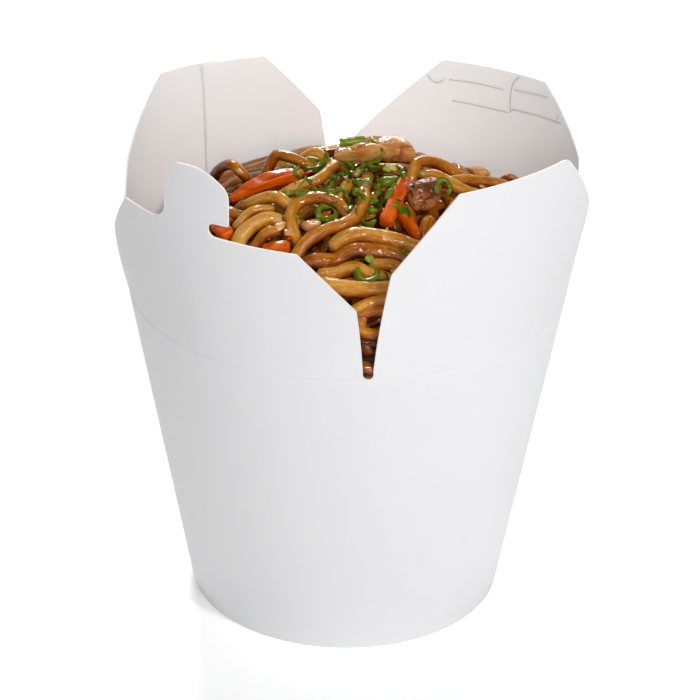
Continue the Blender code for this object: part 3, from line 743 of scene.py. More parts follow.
def coverLump(points, piece):
    # noodles keep below the middle of the lump and outside its sides
    centre = onHeap(*piece["at"], piece["over"])
    x, y = np.meshgrid(np.arange(cells) * heap["cell"] - heap["reach"], np.arange(cells) * heap["cell"] - heap["reach"], indexing="ij")
    c, s = math.cos(math.radians(piece["turn"])), math.sin(math.radians(piece["turn"]))
    along, across = (x - centre[0]) * c + (y - centre[1]) * s, -(x - centre[0]) * s + (y - centre[1]) * c
    half = np.array(piece["size"]) / 2
    grown = half + (1.9, 1.9, 1.9)
    inside = 1 - (along / grown[0]) ** 2 - (across / grown[1]) ** 2
    slope = heapHeight(x, y) - heapHeight(*piece["at"])
    low = centre[2] + slope - grown[2] * np.sqrt(np.maximum(inside, 0)) * 0.9
    roof[inside > 0] = np.minimum(roof, low)[inside > 0]
    i = np.round((points[:, 0] + heap["reach"]) / heap["cell"]).astype(int)
    j = np.round((points[:, 1] + heap["reach"]) / heap["cell"]).astype(int)
    np.maximum.at(surface, (i, j), points[:, 2])


def makeCarrot(name, seed):
    # a rounded square, cos and sin each to the power 0.45, carried along a bowed line and closed at both ends
    piece = carrots[name]
    first, last = onHeap(*piece["from"], piece["over"]), onHeap(*piece["to"], piece["over"])
    middle = (first + last) / 2
    ahead = unit(last - first)
    upward = heapTilt(middle[0], middle[1]) @ np.array([0, 0, 1.0])
    sideways = unit(np.cross(upward, ahead))
    upward = np.cross(ahead, sideways)
    length = np.linalg.norm(last - first)
    ends = np.array([0.0, 0.25, 0.5, 0.8])
    along = np.concatenate([ends, np.linspace(1.2, length - 1.2, int(length / 0.6)), length - ends[::-1]])
    t = 2 * along / length - 1
    rows, columns = len(along), 40
    cap = np.clip(np.minimum(along, length - along) / 0.8, 0, 1)
    swell = (0.80 + 0.20 * np.sqrt(1 - (1 - cap) ** 2)) * (1 - 0.12 * t**4 + 0.05 * np.sin(3 * t + length))
    swell = swell * (1 - piece["taper"] * np.clip(-t, 0, 1) ** 1.5)
    angle = np.linspace(0, 2 * math.pi, columns, endpoint=False) + 0.08
    c, s = np.cos(angle), np.sin(angle)
    square = np.stack([np.sign(c) * np.abs(c) ** 0.45, np.sign(s) * np.abs(s) ** 0.45 * 0.9], -1) * piece["thick"] / 2
    twist = 0.25 * np.sin(1.3 * t + seed)
    cross = square[None] * swell[:, None, None]
    y = cross[..., 0] * np.cos(twist)[:, None] - cross[..., 1] * np.sin(twist)[:, None] + 0.25 * piece["bow"] * np.sin(2.4 * t)[:, None]
    z = cross[..., 0] * np.sin(twist)[:, None] + cross[..., 1] * np.cos(twist)[:, None] + piece["bow"] * (1 - t**2)[:, None]
    x = np.broadcast_to((along - length / 2)[:, None], y.shape)
    local = np.stack([x, y, z], -1)
    streak = softNoise(local * (0.12, 1, 1), 0.55, seed) * 0.10 + softNoise(local, 2.2, seed + 1) * 0.16
    local[..., 1:] *= (1 + streak[..., None] / piece["thick"] * 2)
    points = middle + local[..., :1] * ahead + local[..., 1:2] * sideways + local[..., 2:] * upward
    tone = 0.5 + softNoise(local * (0.10, 1, 1), 0.5, seed + 2) * 0.6
    faces = gridFaces(rows, columns, closed=True).tolist()
    faces += [list(range(columns))[::-1], list(range((rows - 1) * columns, rows * columns))]
    obj = putMesh(name + "_piece", points.reshape(-1, 3), faces, [carrotFlesh], sharp=60, tone=tone.ravel())
    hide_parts(name)
    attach(obj, "box")
    line = points.mean(axis=1)
    coverCells(line, piece["thick"] / 2 * 1.02)


for number, name in enumerate(chicken):
    makeChicken(name, 31 + 5 * number)
for number, name in enumerate(carrots):
    makeCarrot(name, 71 + 5 * number)
print("toppings made")


# the noodles

noodle = {
    "unevenness": 0.05, "sides": 14, "step": 1.1, "thinnest": 1.5, "thickest": 2.05,
    "fillers": 900, "longest": 58.0, "deepest": 9.0, "leastShown": 0.22, "spotTries": 14, "roomPull": 0.5, "edgeStrands": 56,
    "bedDepth": 6.0, "bedGap": 3.4, "wallRings": (51.4, 48.4),
}
# large strands on top, the topmost first: x, y and height over the dome, then radius and tone (0 pale, 1 dark)
topStrands = [
    ([(-14.6, -29.1, -2.5), (-13.4, -31, 1), (-11.1, -29.1, 2.2), (-6.5, -26.9, 2.9), (-2, -25.8, 3.2), (0.9, -23.8, 3.2),
      (2.8, -20, 2.8), (3.8, -15.9, 2.4), (3.6, -11.8, 1.8), (3.9, -7.9, 1), (4.4, -2.3, -0.6), (4.8, 4.2, -2.5)], 1.75, 0.4),
    ([(-11.1, -26.2, -3), (-12.8, -25.8, 0.5), (-14.1, -23.4, 1.6), (-14.6, -19.9, 2.2), (-13.8, -17, 2.6), (-11.3, -15, 2.8),
      (-7.9, -15.1, 2.8), (-3.8, -16.5, 2.6), (-0.9, -18.5, 2.4), (0.6, -20.3, 2), (1, -20.6, 0.3), (0.4, -20.9, -1.5)], 1.7, 0.38),
    ([(-4.6, -30.6, 0.4), (-3.9, -30.2, 1.2), (-2.5, -29.1, 2), (0.4, -28.3, 2.3), (4.4, -28.2, 2.4),
      (8.5, -28.3, 2.3), (12.5, -28.5, 2.2), (16.5, -28.6, 1.8), (20.3, -27.7, 0.5)], 2.25, 0.3),
    ([(-18.7, -6.8, -0.5), (-16.7, -8.8, 1.8), (-13.8, -8.4, 2.2), (-10.3, -7.6, 2.4), (-7.4, -6.2, 2.6),
      (-5.1, -2.6, 2.6), (-3.7, 1.5, 2.4), (-2.8, 6.3, 1.8), (-2.3, 16.2, 0)], 1.55, 0.3),
    ([(-11.1, -26.9, -2), (-10.5, -32.4, 0.6), (-8.1, -34.4, 1.2), (-5.3, -34.2, 1.6), (-1.9, -32.9, 1.8),
      (2.7, -32.3, 1.9), (7.3, -32.1, 1.8), (11.4, -32.1, 1.7), (15.4, -31.5, 1.2), (18.9, -30.4, 0)], 2.1, 0.6),
    ([(14.3, -1.5, -2), (14.8, -2.8, 1.6), (15.8, 0.3, 2.8), (17.4, 3.8, 3.6), (19.9, 6.8, 3.8),
      (22.5, 8.4, 3.6), (25.2, 9.4, 3), (27.8, 9.5, 2.2), (30.1, 11.1, 0.3)], 1.6, 0.42),
    ([(16.1, 7.2, -1), (18.4, 2.9, 1.4), (21.3, 2.2, 2), (24.3, 0.6, 2.4), (27.2, -1, 2.6), (30.1, -1, 2.4), (33.5, 1.6, 1)], 1.8, 0.3),
    ([(25.3, 6, -0.5), (27.9, 5.5, 1.6), (31, 7, 2.2), (34.5, 9.2, 2.3), (37.5, 10, 2.9),
      (40.5, 10, 3.5), (43.4, 10, 4.1), (46, 9, 2), (48, 7, -2)], 1.6, 0.38),
    ([(-29.4, -22.4, -2), (-28.2, -23.8, 1.2), (-27.1, -21.8, 1.8), (-25, -20.2, 2.2),
      (-22.1, -19.2, 2.4), (-18.8, -18.7, 2.2), (-15.3, -18.4, 1.4), (-12.3, -17.5, -0.5)], 1.95, 0.06),
    ([(-26.6, -6.2, -1), (-24.8, -8.9, 1.4), (-22.5, -9.8, 2.2), (-18.9, -11.7, 2.6),
      (-16, -13.4, 2.2), (-13.7, -14.1, 1), (-11.6, -14.3, -1)], 1.7, 0.22),
    ([(-35.5, 16.9, -3), (-35.4, 15.2, 0), (-34.9, 14.1, 2.2), (-33.7, 12.1, 4.2), (-31.7, 9.5, 5.2),
      (-29.6, 6.9, 5), (-27.8, 5.6, 3.4), (-26.3, 6.2, 1), (-25, 7.5, -2)], 1.45, 0.52),
    ([(-26.9, 6.9, -2), (-25.2, 4.5, 1), (-23.7, 5.5, 2.4), (-22.3, 7, 3.4), (-20.8, 8.4, 3.8),
      (-18.1, 8.7, 3.4), (-15.2, 7.1, 2.8), (-12.2, 6, 1.8), (-9.7, 6.3, 0.3), (-7.4, 8.7, -2)], 1.55, 0.5),
    ([(-12.5, 15.6, -1), (-10.8, 13.6, 1.2), (-8.2, 13.2, 2.0), (-5.2, 12.9, 2.2), (-2.2, 13.9, 1.6), (0.1, 17.6, -0.5)], 1.65, 0.2),
    ([(37.9, 14, 2.1), (39.3, 14, 3.9), (41.7, 14, 5.7), (43.8, 14, 6.2), (44.9, 14, 5), (46.5, 13, 1.5), (47.5, 12, -2)], 1.1, 0.6),
    ([(27, 22.5, -1), (29.3, 16.3, 0.8), (31.6, 14.7, 1.2), (34, 14.6, 1), (36.5, 16.8, 0)], 1.4, 0.45),
    ([(1.1, -0.9, -1), (2.5, -2.5, 1.4), (4.9, -2.2, 1.8), (7.2, -3, 1.8), (9.1, -3.3, 1), (10.3, -2.6, -1)], 1.4, 0.28),
    ([(-3.2, -11.7, -1.5), (-2.4, -12.1, 0.8), (-1.2, -10.1, 1.8), (-0.1, -7.3, 2), (0.8, -4.1, 1.6), (1.1, 1.8, 0)], 1.6, 0.28),
    ([(5.4, -34.2, 0), (7.9, -35.1, 1.5), (10.5, -35, 2), (13.1, -35.4, 1.8), (15.6, -34.7, 0)], 1.8, 0.32),
    ([(-7.8, -35.8, -1), (-5.2, -36.3, 0.6), (-1.8, -36.2, 1.2), (1.6, -36.2, 1.3),
      (5.1, -37.3, 1.2), (8.5, -37.5, 0.8), (11.7, -36.5, -0.5)], 1.9, 0.25),
    ([(-7.8, -38.4, -1), (-4.6, -41.4, 1.2), (-1.7, -42.8, 1.8), (1.7, -43.3, 2), (5.7, -43.3, 2), (9.1, -42.5, 1.8), (12.3, -40.4, 0.5)], 2.25, 0.2),
    ([(1.5, -49.5, -0.5), (3.3, -50.7, 1.2), (5.3, -51.1, 1.8), (7.5, -50.9, 1.8), (10.1, -49.9, 0.8)], 1.65, 0.42),
    ([(4.9, -47.5, 0.6), (3.9, -49, 1.5), (3.4, -49.9, 1.6), (3.9, -50.2, 0.6)], 1.35, 0.5),
    ([(2.1, -48.7, -0.5), (3.3, -48.9, 1.2), (4.9, -48.5, 1.8), (6.9, -48.1, 1.8), (9.2, -47.7, 1.5), (11.8, -46.7, 0)], 1.5, 0.62),
    ([(0.4, -47.3, -0.8), (2.6, -47.5, 1), (4.6, -47.1, 1.8), (6.9, -46.4, 2), (9.7, -45.3, 1.8), (12.9, -43.5, 0.8)], 1.75, 0.32),
    ([(-29.1, -16, -1), (-28.1, -15.8, 1.2), (-26.4, -14.4, 1.6), (-24.1, -13.6, 1.8), (-21.2, -13, 1.4), (-18.8, -12.3, 0)], 1.3, 0.3),
    ([(-31.3, -4.4, -0.5), (-28.9, -6.7, 1), (-26, -7.7, 1.6), (-23.1, -9, 1.4), (-20.6, -9.1, 0)], 1.5, 0.4),
    ([(-31, -11.8, 0), (-30, -10.7, 1), (-28.9, -9.1, 1.2), (-27.1, -6.7, 0)], 1.4, 0.65),
    ([(-27.2, -21.5, -1), (-25.2, -22.9, 1.4), (-22.4, -23.4, 2.2), (-19.4, -23.9, 2.2), (-17.2, -23.4, 0.8)], 1.6, 0.42),
    ([(-23, 9.6, -1), (-21, 5.9, 1.2), (-18.1, 5.5, 1.6), (-14.5, 3.6, 1.6), (-11.5, 3.9, 0)], 1.5, 0.33),
    ([(9, 3.9, 0), (12.5, 4.2, 1), (15.5, 5.8, 1.2), (18.2, 12, 0.3)], 1.4, 0.38),
    ([(20.4, -10.5, 0), (20.4, -15.6, 1.4), (19.9, -19.8, 1.8), (18.9, -22.7, 1.6), (18, -24.6, 0.6), (17.1, -25.9, -1)], 1.95, 0.55),
    ([(3.7, -13.4, -0.5), (4.6, -12.2, 0.8), (5.8, -10.2, 1.2), (7.3, -6.4, 0.6), (8.5, -0.8, -1)], 1.5, 0.55),
    ([(22.8, -10.4, -1), (24.8, -10.1, 1.2), (27.1, -7.1, 1.4), (29.7, -2.3, 0)], 1.35, 0.12),
    ([(-12.8, -14.5, -1), (-10.1, -16.5, 0.2), (-7.2, -17.8, 0.2), (-4.6, -17.3, -1)], 1.4, 0.55),
    ([(-9.1, -26.4, -0.5), (-6.5, -26.1, 0), (-3.8, -24.4, -0.5)], 1.5, 0.65),
    ([(-11, -26.7, -0.5), (-9.6, -30.3, 1), (-9.2, -31.7, 0.6), (-9.3, -32.1, -1)], 1.25, 0.55),
    ([(-2.8, -43.4, -0.5), (0.6, -44.9, 0.6), (4, -44.5, 0.8), (7.7, -43.2, 0.2)], 1.4, 0.78),
    ([(-10.1, -34.8, -1), (-7.5, -36.6, 0.4), (-4.6, -38.5, 0.6), (-0.6, -39, 0.4), (4, -38.8, 0)], 1.6, 0.6),
    ([(1.7, -53.7, 0), (4.2, -54, 1.4), (6.5, -54, 1.6), (9.1, -53.4, 1)], 1.85, 0.62),
    ([(2.3, -54.4, 0), (5.4, -54.5, 0.8), (8.6, -53.8, 0)], 1.5, 0.9),
    ([(2.2, -51.3, -1), (5.3, -51.1, -0.5), (9, -50.9, -0.5)], 1.6, 0.95),
]
# spots that stay lower, between or inside strands: x, y, radius and depth
hollows = [(-28, 38, 14, 5.5), (-31, 5, 4.5, 3.0), (-8, -21, 3.5, 1.5), (22, 4, 4.5, 2.5), (-20, 4, 3.5, 1.2), (42, 12, 3, 0.5)]


def grow(random, start, heading, length):
    # a strand that finds its way: at each step it takes the turn with the most room under the roof ahead,
    # the least change of bend and the best match with a slowly turning field of directions
    step = 1.6
    turns = np.linspace(-0.26, 0.26, 9) * step / 1.6
    places, here, last = [], np.array(start, dtype=float), random.normal(0, 0.05)
    lean = random.normal(0, 0.9)
    for _ in range(int(length / step)):
        places.append(here.copy())
        ahead = heading + turns
        room = 0
        for reach, share in ((2.4, 1.0), (5.0, 1.6)):
            x = here[0] + reach * np.cos(heading + turns * share)
            y = here[1] + reach * np.sin(heading + turns * share)
            free = np.clip(cellAt(roof, x, y) - heapHeight(x, y), -8, 1.5)
            room = room + free - 4 * np.maximum(0, np.hypot(x, y) - heap["edge"])
        field = math.pi * softNoise(np.array([here[0], here[1], 40.0]), 24.0, 5) + lean
        match = np.cos(2 * (field - ahead))
        score = noodle["roomPull"] * room + 0.25 * match - 55 * (turns - last) ** 2 - 9 * turns**2 + random.normal(0, 0.25, len(turns))
        last = turns[np.argmax(score)]
        heading += last
        here = here + step * np.array([math.cos(heading), math.sin(heading)])
        radius = math.hypot(*here)
        if radius > heap["edge"]:
            here *= heap["edge"] / radius
    return np.array(places)


def emptiestSpot(random, tries):
    # of several random places, the one where the food lies lowest under the dome
    radius, angle = heap["edge"] * np.sqrt(random.uniform(0, 1, tries)), random.uniform(-math.pi, math.pi, tries)
    x, y = radius * np.cos(angle), radius * np.sin(angle)
    need = np.clip(heapHeight(x, y) - cellAt(surface, x, y), -3, 12)
    best = int(np.argmax(need))
    return x[best], y[best]


def layNoodles():
    random = np.random.default_rng(heap["seed"])
    strands = []
    for route, radius, tone in topStrands:
        line = smoothPath(np.array(route, dtype=float), 0.6)
        path, _ = settle(line, line[:, 2], 3)
        if np.hypot(line[:, 0], line[:, 1]).mean() > 46:
            path = line + np.stack([0 * line[:, 0], 0 * line[:, 0], heapHeight(line[:, 0], line[:, 1])], -1)  # stacked against the wall
        coverCells(path, radius)
        strands.append((path, radius, tone, "top"))
    for x, y, radius, depth in hollows:
        i, j = np.meshgrid(np.arange(cells) * heap["cell"] - heap["reach"], np.arange(cells) * heap["cell"] - heap["reach"], indexing="ij")
        away = np.hypot(i - x, j - y) / radius
        low = heapHeight(i, j) - depth + 2.0 * away**2
        roof[away < 1] = np.minimum(roof, low)[away < 1]
    # the back of the heap lies lower: the allowed height sinks by a smoothstep from front to back
    x, y = np.meshgrid(np.arange(cells) * heap["cell"] - heap["reach"], np.arange(cells) * heap["cell"] - heap["reach"], indexing="ij")
    share = np.clip((y - heap["sinkFrom"]) / 14, 0, 1)
    np.minimum(roof, heapHeight(x, y) + 0.9 - (heap["sink"] + 0.9) * share**2 * (3 - 2 * share), out=roof)
    for number in range(noodle["edgeStrands"]):
        turn = random.uniform(-math.pi, math.pi)
        if number < 8:
            turn = math.radians(-84.5 + 90 * (number % 4)) - 0.35  # some pass behind each slit
        angle = turn + np.linspace(0, random.uniform(0.5, 1.3), 14)
        away = heap["edge"] - random.uniform(0, 6.5) + 0.8 * np.sin(3 * angle + number)
        away[[0, -1]] -= 4
        line = smoothPath(np.stack([away * np.cos(angle), away * np.sin(angle)], -1), 0.6)
        line *= np.minimum(1, heap["edge"] / np.hypot(line[:, 0], line[:, 1]))[:, None]
        path, drop = settle(line, random.uniform(-0.6, 1.2) - 2.2 * (math.sin(angle.mean()) > 0), 4)
        radius = random.uniform(noodle["thinnest"], noodle["thickest"])
        if drop.mean() < 11:
            coverCells(path, radius)
            strands.append((path, radius, random.uniform(0.2, 0.9), "heap"))
    for number in range(noodle["fillers"]):
        start = emptiestSpot(random, noodle["spotTries"])
        heading = random.uniform(-math.pi, math.pi)
        half = random.uniform(0.5, 1.0) * noodle["longest"] * (1 - 0.6 * number / noodle["fillers"])
        route = np.concatenate([grow(random, start, heading + math.pi, half * random.uniform(0.2, 0.6))[:0:-1], grow(random, start, heading, half)])
        line = smoothPath(route, 0.6)
        over = np.full(len(line), random.uniform(-0.8, 0.9))
        dive = np.linspace(1, 0, 11) ** 1.5 * 4.5
        over[:11] -= dive
        over[-11:] -= dive[::-1]
        radius = random.uniform(noodle["thinnest"], noodle["thickest"])
        path, drop = settle(line, over, 4)
        shown = (path[:, 2] + radius > cellAt(surface, path[:, 0], path[:, 1]) + 0.4).mean()
        if drop.mean() < noodle["deepest"] and shown > noodle["leastShown"]:
            coverCells(path, radius)
            strands.append((path, radius, float(random.beta(1.6, 1.6)), "heap"))
    for layer in range(2):
        # the bed: two crossing layers of wavy strands that close what is left between the others
        turn = 0.5 + 1.35 * layer
        for across in np.arange(-48, 48.1, noodle["bedGap"]):
            half = math.sqrt(max(0, 51**2 - across**2)) - 0.5
            along = np.linspace(-half, half, max(4, int(half / 3)))
            wave = across + 1.8 * np.sin(along / (7 + layer) + across) + random.normal(0, 0.4, len(along))
            line = smoothPath(np.stack([along * math.cos(turn) - wave * math.sin(turn), along * math.sin(turn) + wave * math.cos(turn)], -1), 0.9)
            line *= np.minimum(1, heap["edge"] / np.hypot(line[:, 0], line[:, 1]))[:, None]
            over = -noodle["bedDepth"] - 1.4 * layer + 0.5 * np.sin(np.arange(len(line)) / 6 + across)
            path = np.column_stack([line, heapHeight(line[:, 0], line[:, 1]) + over])
            coverCells(path, 1.9)
            strands.append((path, 1.9, random.uniform(0.4, 0.9), "bed"))
    for number, away in enumerate(noodle["wallRings"]):
        # and strands that run round along the wall
        for start in np.arange(0, 2 * math.pi, 0.9):
            angle = start + number * 0.4 + np.linspace(0, 1.05, 30)
            radius = away + 0.5 * np.sin(5 * angle + number)
            line = np.stack([radius * np.cos(angle), radius * np.sin(angle)], -1)
            over = -3.6 - 0.9 * number + 0.9 * np.sin(3.3 * angle + 2 * number)
            path = np.column_stack([line, heapHeight(line[:, 0], line[:, 1]) + over])
            coverCells(path, 1.75)
            strands.append((path, 1.75, random.uniform(0.3, 0.85), "bed"))
    return strands


def strandTube(path, radius, sides, step, seed):
    # a circle, a little flat and uneven, carried along the path: point = path + r (side cos a + lift sin a), with
    # rounded ends; flow holds the place along the strand and around it, and under is 1 below the strand and 0 on top,
    # used to paint shade on the underside of each strand
    length = np.concatenate([[0], np.cumsum(np.linalg.norm(np.diff(path, axis=0), axis=1))])
    count = max(6, int(length[-1] / step))
    ends = np.array([0.0, 0.35, 0.9]) * radius
    places = np.concatenate([ends, np.linspace(1.5 * radius, length[-1] - 1.5 * radius, count), length[-1] - ends[::-1]])
    line = np.stack([np.interp(places, length, path[:, k]) for k in range(3)], -1)
    ahead = unit(np.gradient(line, axis=0))
    side = unit(np.cross(ahead, (0, 0, 1.0)))
    lift = np.cross(side, ahead)
    near = np.clip(np.minimum(places, length[-1] - places) / (0.9 * radius), 0, 1)
    cap = 0.42 + 0.58 * np.sqrt(1 - (1 - near) ** 2)
    angle = np.linspace(0, 2 * math.pi, sides, endpoint=False)
    a, b = np.cos(angle)[None, :, None], np.sin(angle)[None, :, None]
    flow = np.stack(np.broadcast_arrays(places[:, None] * 0.22 + seed, radius * a[..., 0], radius * b[..., 0]), -1)
    wobble = 1 + noodle["unevenness"] * (softNoise(line, 7.0, seed % 97) + 0.6 * softNoise(line, 3.0, seed % 89))
    dents = 1 + 0.9 * noodle["unevenness"] * softNoise(flow * (2.2, 1, 1), 1.5, seed % 83)
    r = (radius * cap * wobble)[:, None, None] * dents[..., None]
    points = line[:, None] + r * (side[:, None] * a + lift[:, None] * b * 0.96)
    under = np.broadcast_to(0.5 - 0.5 * b[..., 0], points.shape[:2])
    return points.reshape(-1, 3), len(line), flow.reshape(-1, 3), under.ravel()


def makeNoodleMaterial():
    # wheat noodle in sauce: pale gold to deep amber by the strand's own tone, darker still towards near black on its
    # underside by painted shade carried in the tone, with drifting stains and streaks that run along it, under a clear
    # coat of sauce
    material, tree, shader = newMaterial("saucedNoodle")
    shader.inputs["Subsurface Weight"].default_value = 0.2
    shader.inputs["Subsurface Radius"].default_value = (0.0025, 0.001, 0.0002)
    shader.inputs["Subsurface Scale"].default_value = 1.0
    shader.inputs["Specular IOR Level"].default_value = 0.02
    shader.inputs["Coat Weight"].default_value = 0.85
    shader.inputs["Coat Roughness"].default_value = 0.05
    place = objectPlace(tree)
    tone = tree.nodes.new("ShaderNodeAttribute")
    tone.attribute_name = "tone"
    flow = tree.nodes.new("ShaderNodeAttribute")
    flow.attribute_name = "flow"
    stain = noiseNode(tree, place, 130, 4, 0.6, 0.6)
    streak = noiseNode(tree, flow.outputs["Vector"], 1.1, 4, 0.6, 0.3)
    fine = noiseNode(tree, place, 1100, 3, 0.6)
    share = mathNode(tree, "MULTIPLY_ADD", stain, 0.9, mathNode(tree, "SUBTRACT", tone.outputs["Fac"], 0.45))
    share = mathNode(tree, "MULTIPLY_ADD", streak, 0.9, mathNode(tree, "SUBTRACT", share, 0.45))
    share = mathNode(tree, "MULTIPLY_ADD", fine, 0.2, mathNode(tree, "SUBTRACT", share, 0.1), clamp=True)
    speck = mathNode(tree, "MULTIPLY_ADD", noiseNode(tree, place, 900, 1, 0.4), 9, -6.2, clamp=True)  # specks of pepper and sauce
    share = mathNode(tree, "MULTIPLY_ADD", speck, 0.3, share, clamp=True)
    colour = rampNode(tree, share, [
        (0.0, (0.60, 0.30, 0.050)), (0.25, (0.47, 0.165, 0.010)), (0.5, (0.34, 0.085, 0.002)), (0.75, (0.18, 0.033, 0.001)), (1.0, (0.05, 0.008, 0.0005)),
    ])
    tree.links.new(colour, shader.inputs["Base Color"])
    tree.links.new(mathNode(tree, "MULTIPLY_ADD", streak, 0.3, 0.28), shader.inputs["Roughness"])
    bump = tree.nodes.new("ShaderNodeBump")
    bump.inputs["Strength"].default_value = 0.5
    bump.inputs["Distance"].default_value = 0.0004
    tree.links.new(mathNode(tree, "MULTIPLY_ADD", streak, 1.4, fine), bump.inputs["Height"])
    tree.links.new(bump.outputs["Normal"], shader.inputs["Normal"])
    ripple = tree.nodes.new("ShaderNodeBump")  # ripples in the sauce break the glints into beads
    ripple.inputs["Strength"].default_value = 0.8
    ripple.inputs["Distance"].default_value = 0.0006
    tree.links.new(noiseNode(tree, place, 620, 2, 0.5), ripple.inputs["Height"])
    tree.links.new(ripple.outputs["Normal"], shader.inputs["Coat Normal"])
    return material


def makeSauceAndShadeMaterial():
    material, tree, shader = newMaterial("darkSauceAndShade")
    place = objectPlace(tree)
    drift = noiseNode(tree, place, 240, 4, 0.6)
    # near-black brown: dark sauce, and painted shade of the deep gaps between strands
    tree.links.new(rampNode(tree, drift, [(0.3, (0.030, 0.008, 0.001)), (0.7, (0.10, 0.028, 0.003))]), shader.inputs["Base Color"])
    tree.links.new(mathNode(tree, "MULTIPLY_ADD", drift, 0.3, 0.4), shader.inputs["Roughness"])
    return material


def makeNoodles():
    strands = layNoodles()
    material = makeNoodleMaterial()
    detail = {"top": (noodle["sides"], noodle["step"]), "heap": (noodle["sides"] - 2, noodle["step"]), "bed": (8, 2.0)}
    for kind, (sides, step) in detail.items():
        points, faces, tones, flows, count = [], [], [], [], 0
        for number, (path, radius, tone, layer) in enumerate(strands):
            if layer != kind:
                continue
            ring, rows, flow, under = strandTube(path, radius, sides, step, number * 7 + 3)
            faces += gridFaces(rows, sides, closed=True, start=count).tolist()
            faces += [list(range(count, count + sides))[::-1], list(range(count + (rows - 1) * sides, count + rows * sides))]
            points.append(ring)
            flows.append(flow)
            # painted shade: the underside of each strand darker and its top lighter
            tones.append(tone + 0.7 * (under - 0.32))
            count += len(ring)
        obj = putMesh("noodles_" + kind, np.concatenate(points), faces, [material], tone=np.concatenate(tones), flow=np.concatenate(flows))
        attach(obj, "box")
        if kind == "top":
            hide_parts("noodles")
        print("noodles", kind, sum(layer == kind for _, _, _, layer in strands), "strands,", 2 * len(faces), "triangles")


def makeCore():
    # under the strands a lumpy mass: the dome lowered by coreDepth and noise, closed down to the base, coloured
    # near-black
    # brown: partly dark sauce, partly painted shade for the deep gaps between strands
    rows, columns = 30, 90
    radius = np.linspace(0, 1, rows)[:, None] * (heap["edge"] + 1.0)
    angle = np.linspace(0, 2 * math.pi, columns, endpoint=False)[None, :]
    x, y = radius * np.cos(angle), radius * np.sin(angle)
    flat = np.stack([x, y, 0 * x], -1)
    z = heapHeight(x, y) - heap["coreDepth"] + 1.6 * softNoise(flat, 5.0, 3) + 0.6 * softNoise(flat, 2.0, 4)
    top = np.stack([x, y, z], -1)
    sides = []
    for height in (82.0, 60.0, 30.0, 10.5):
        edge = wallRadius(height) - box["board"] - 0.9
        sides.append(np.stack([edge * np.cos(angle), edge * np.sin(angle), np.full_like(angle, height)], -1))
    floor = np.stack([0 * angle, 0 * angle, np.full_like(angle, 9.2)], -1)
    low = sides[-1] * (0.97, 0.97, 1) - (0, 0, 1.3)
    points = np.concatenate([top.reshape(-1, 3)] + [s.reshape(-1, 3) for s in sides + [low, floor]])
    first, faces = weld(points, gridFaces(rows + 6, columns, closed=True)[:, ::-1])
    faces, _ = plainFaces(faces)
    obj = putMesh("sauce_and_shade_core", points[first], faces, [makeSauceAndShadeMaterial()])
    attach(obj, "box")


makeNoodles()
makeCore()
print("noodles made")


# sliced spring onion and small bits, laid on the food

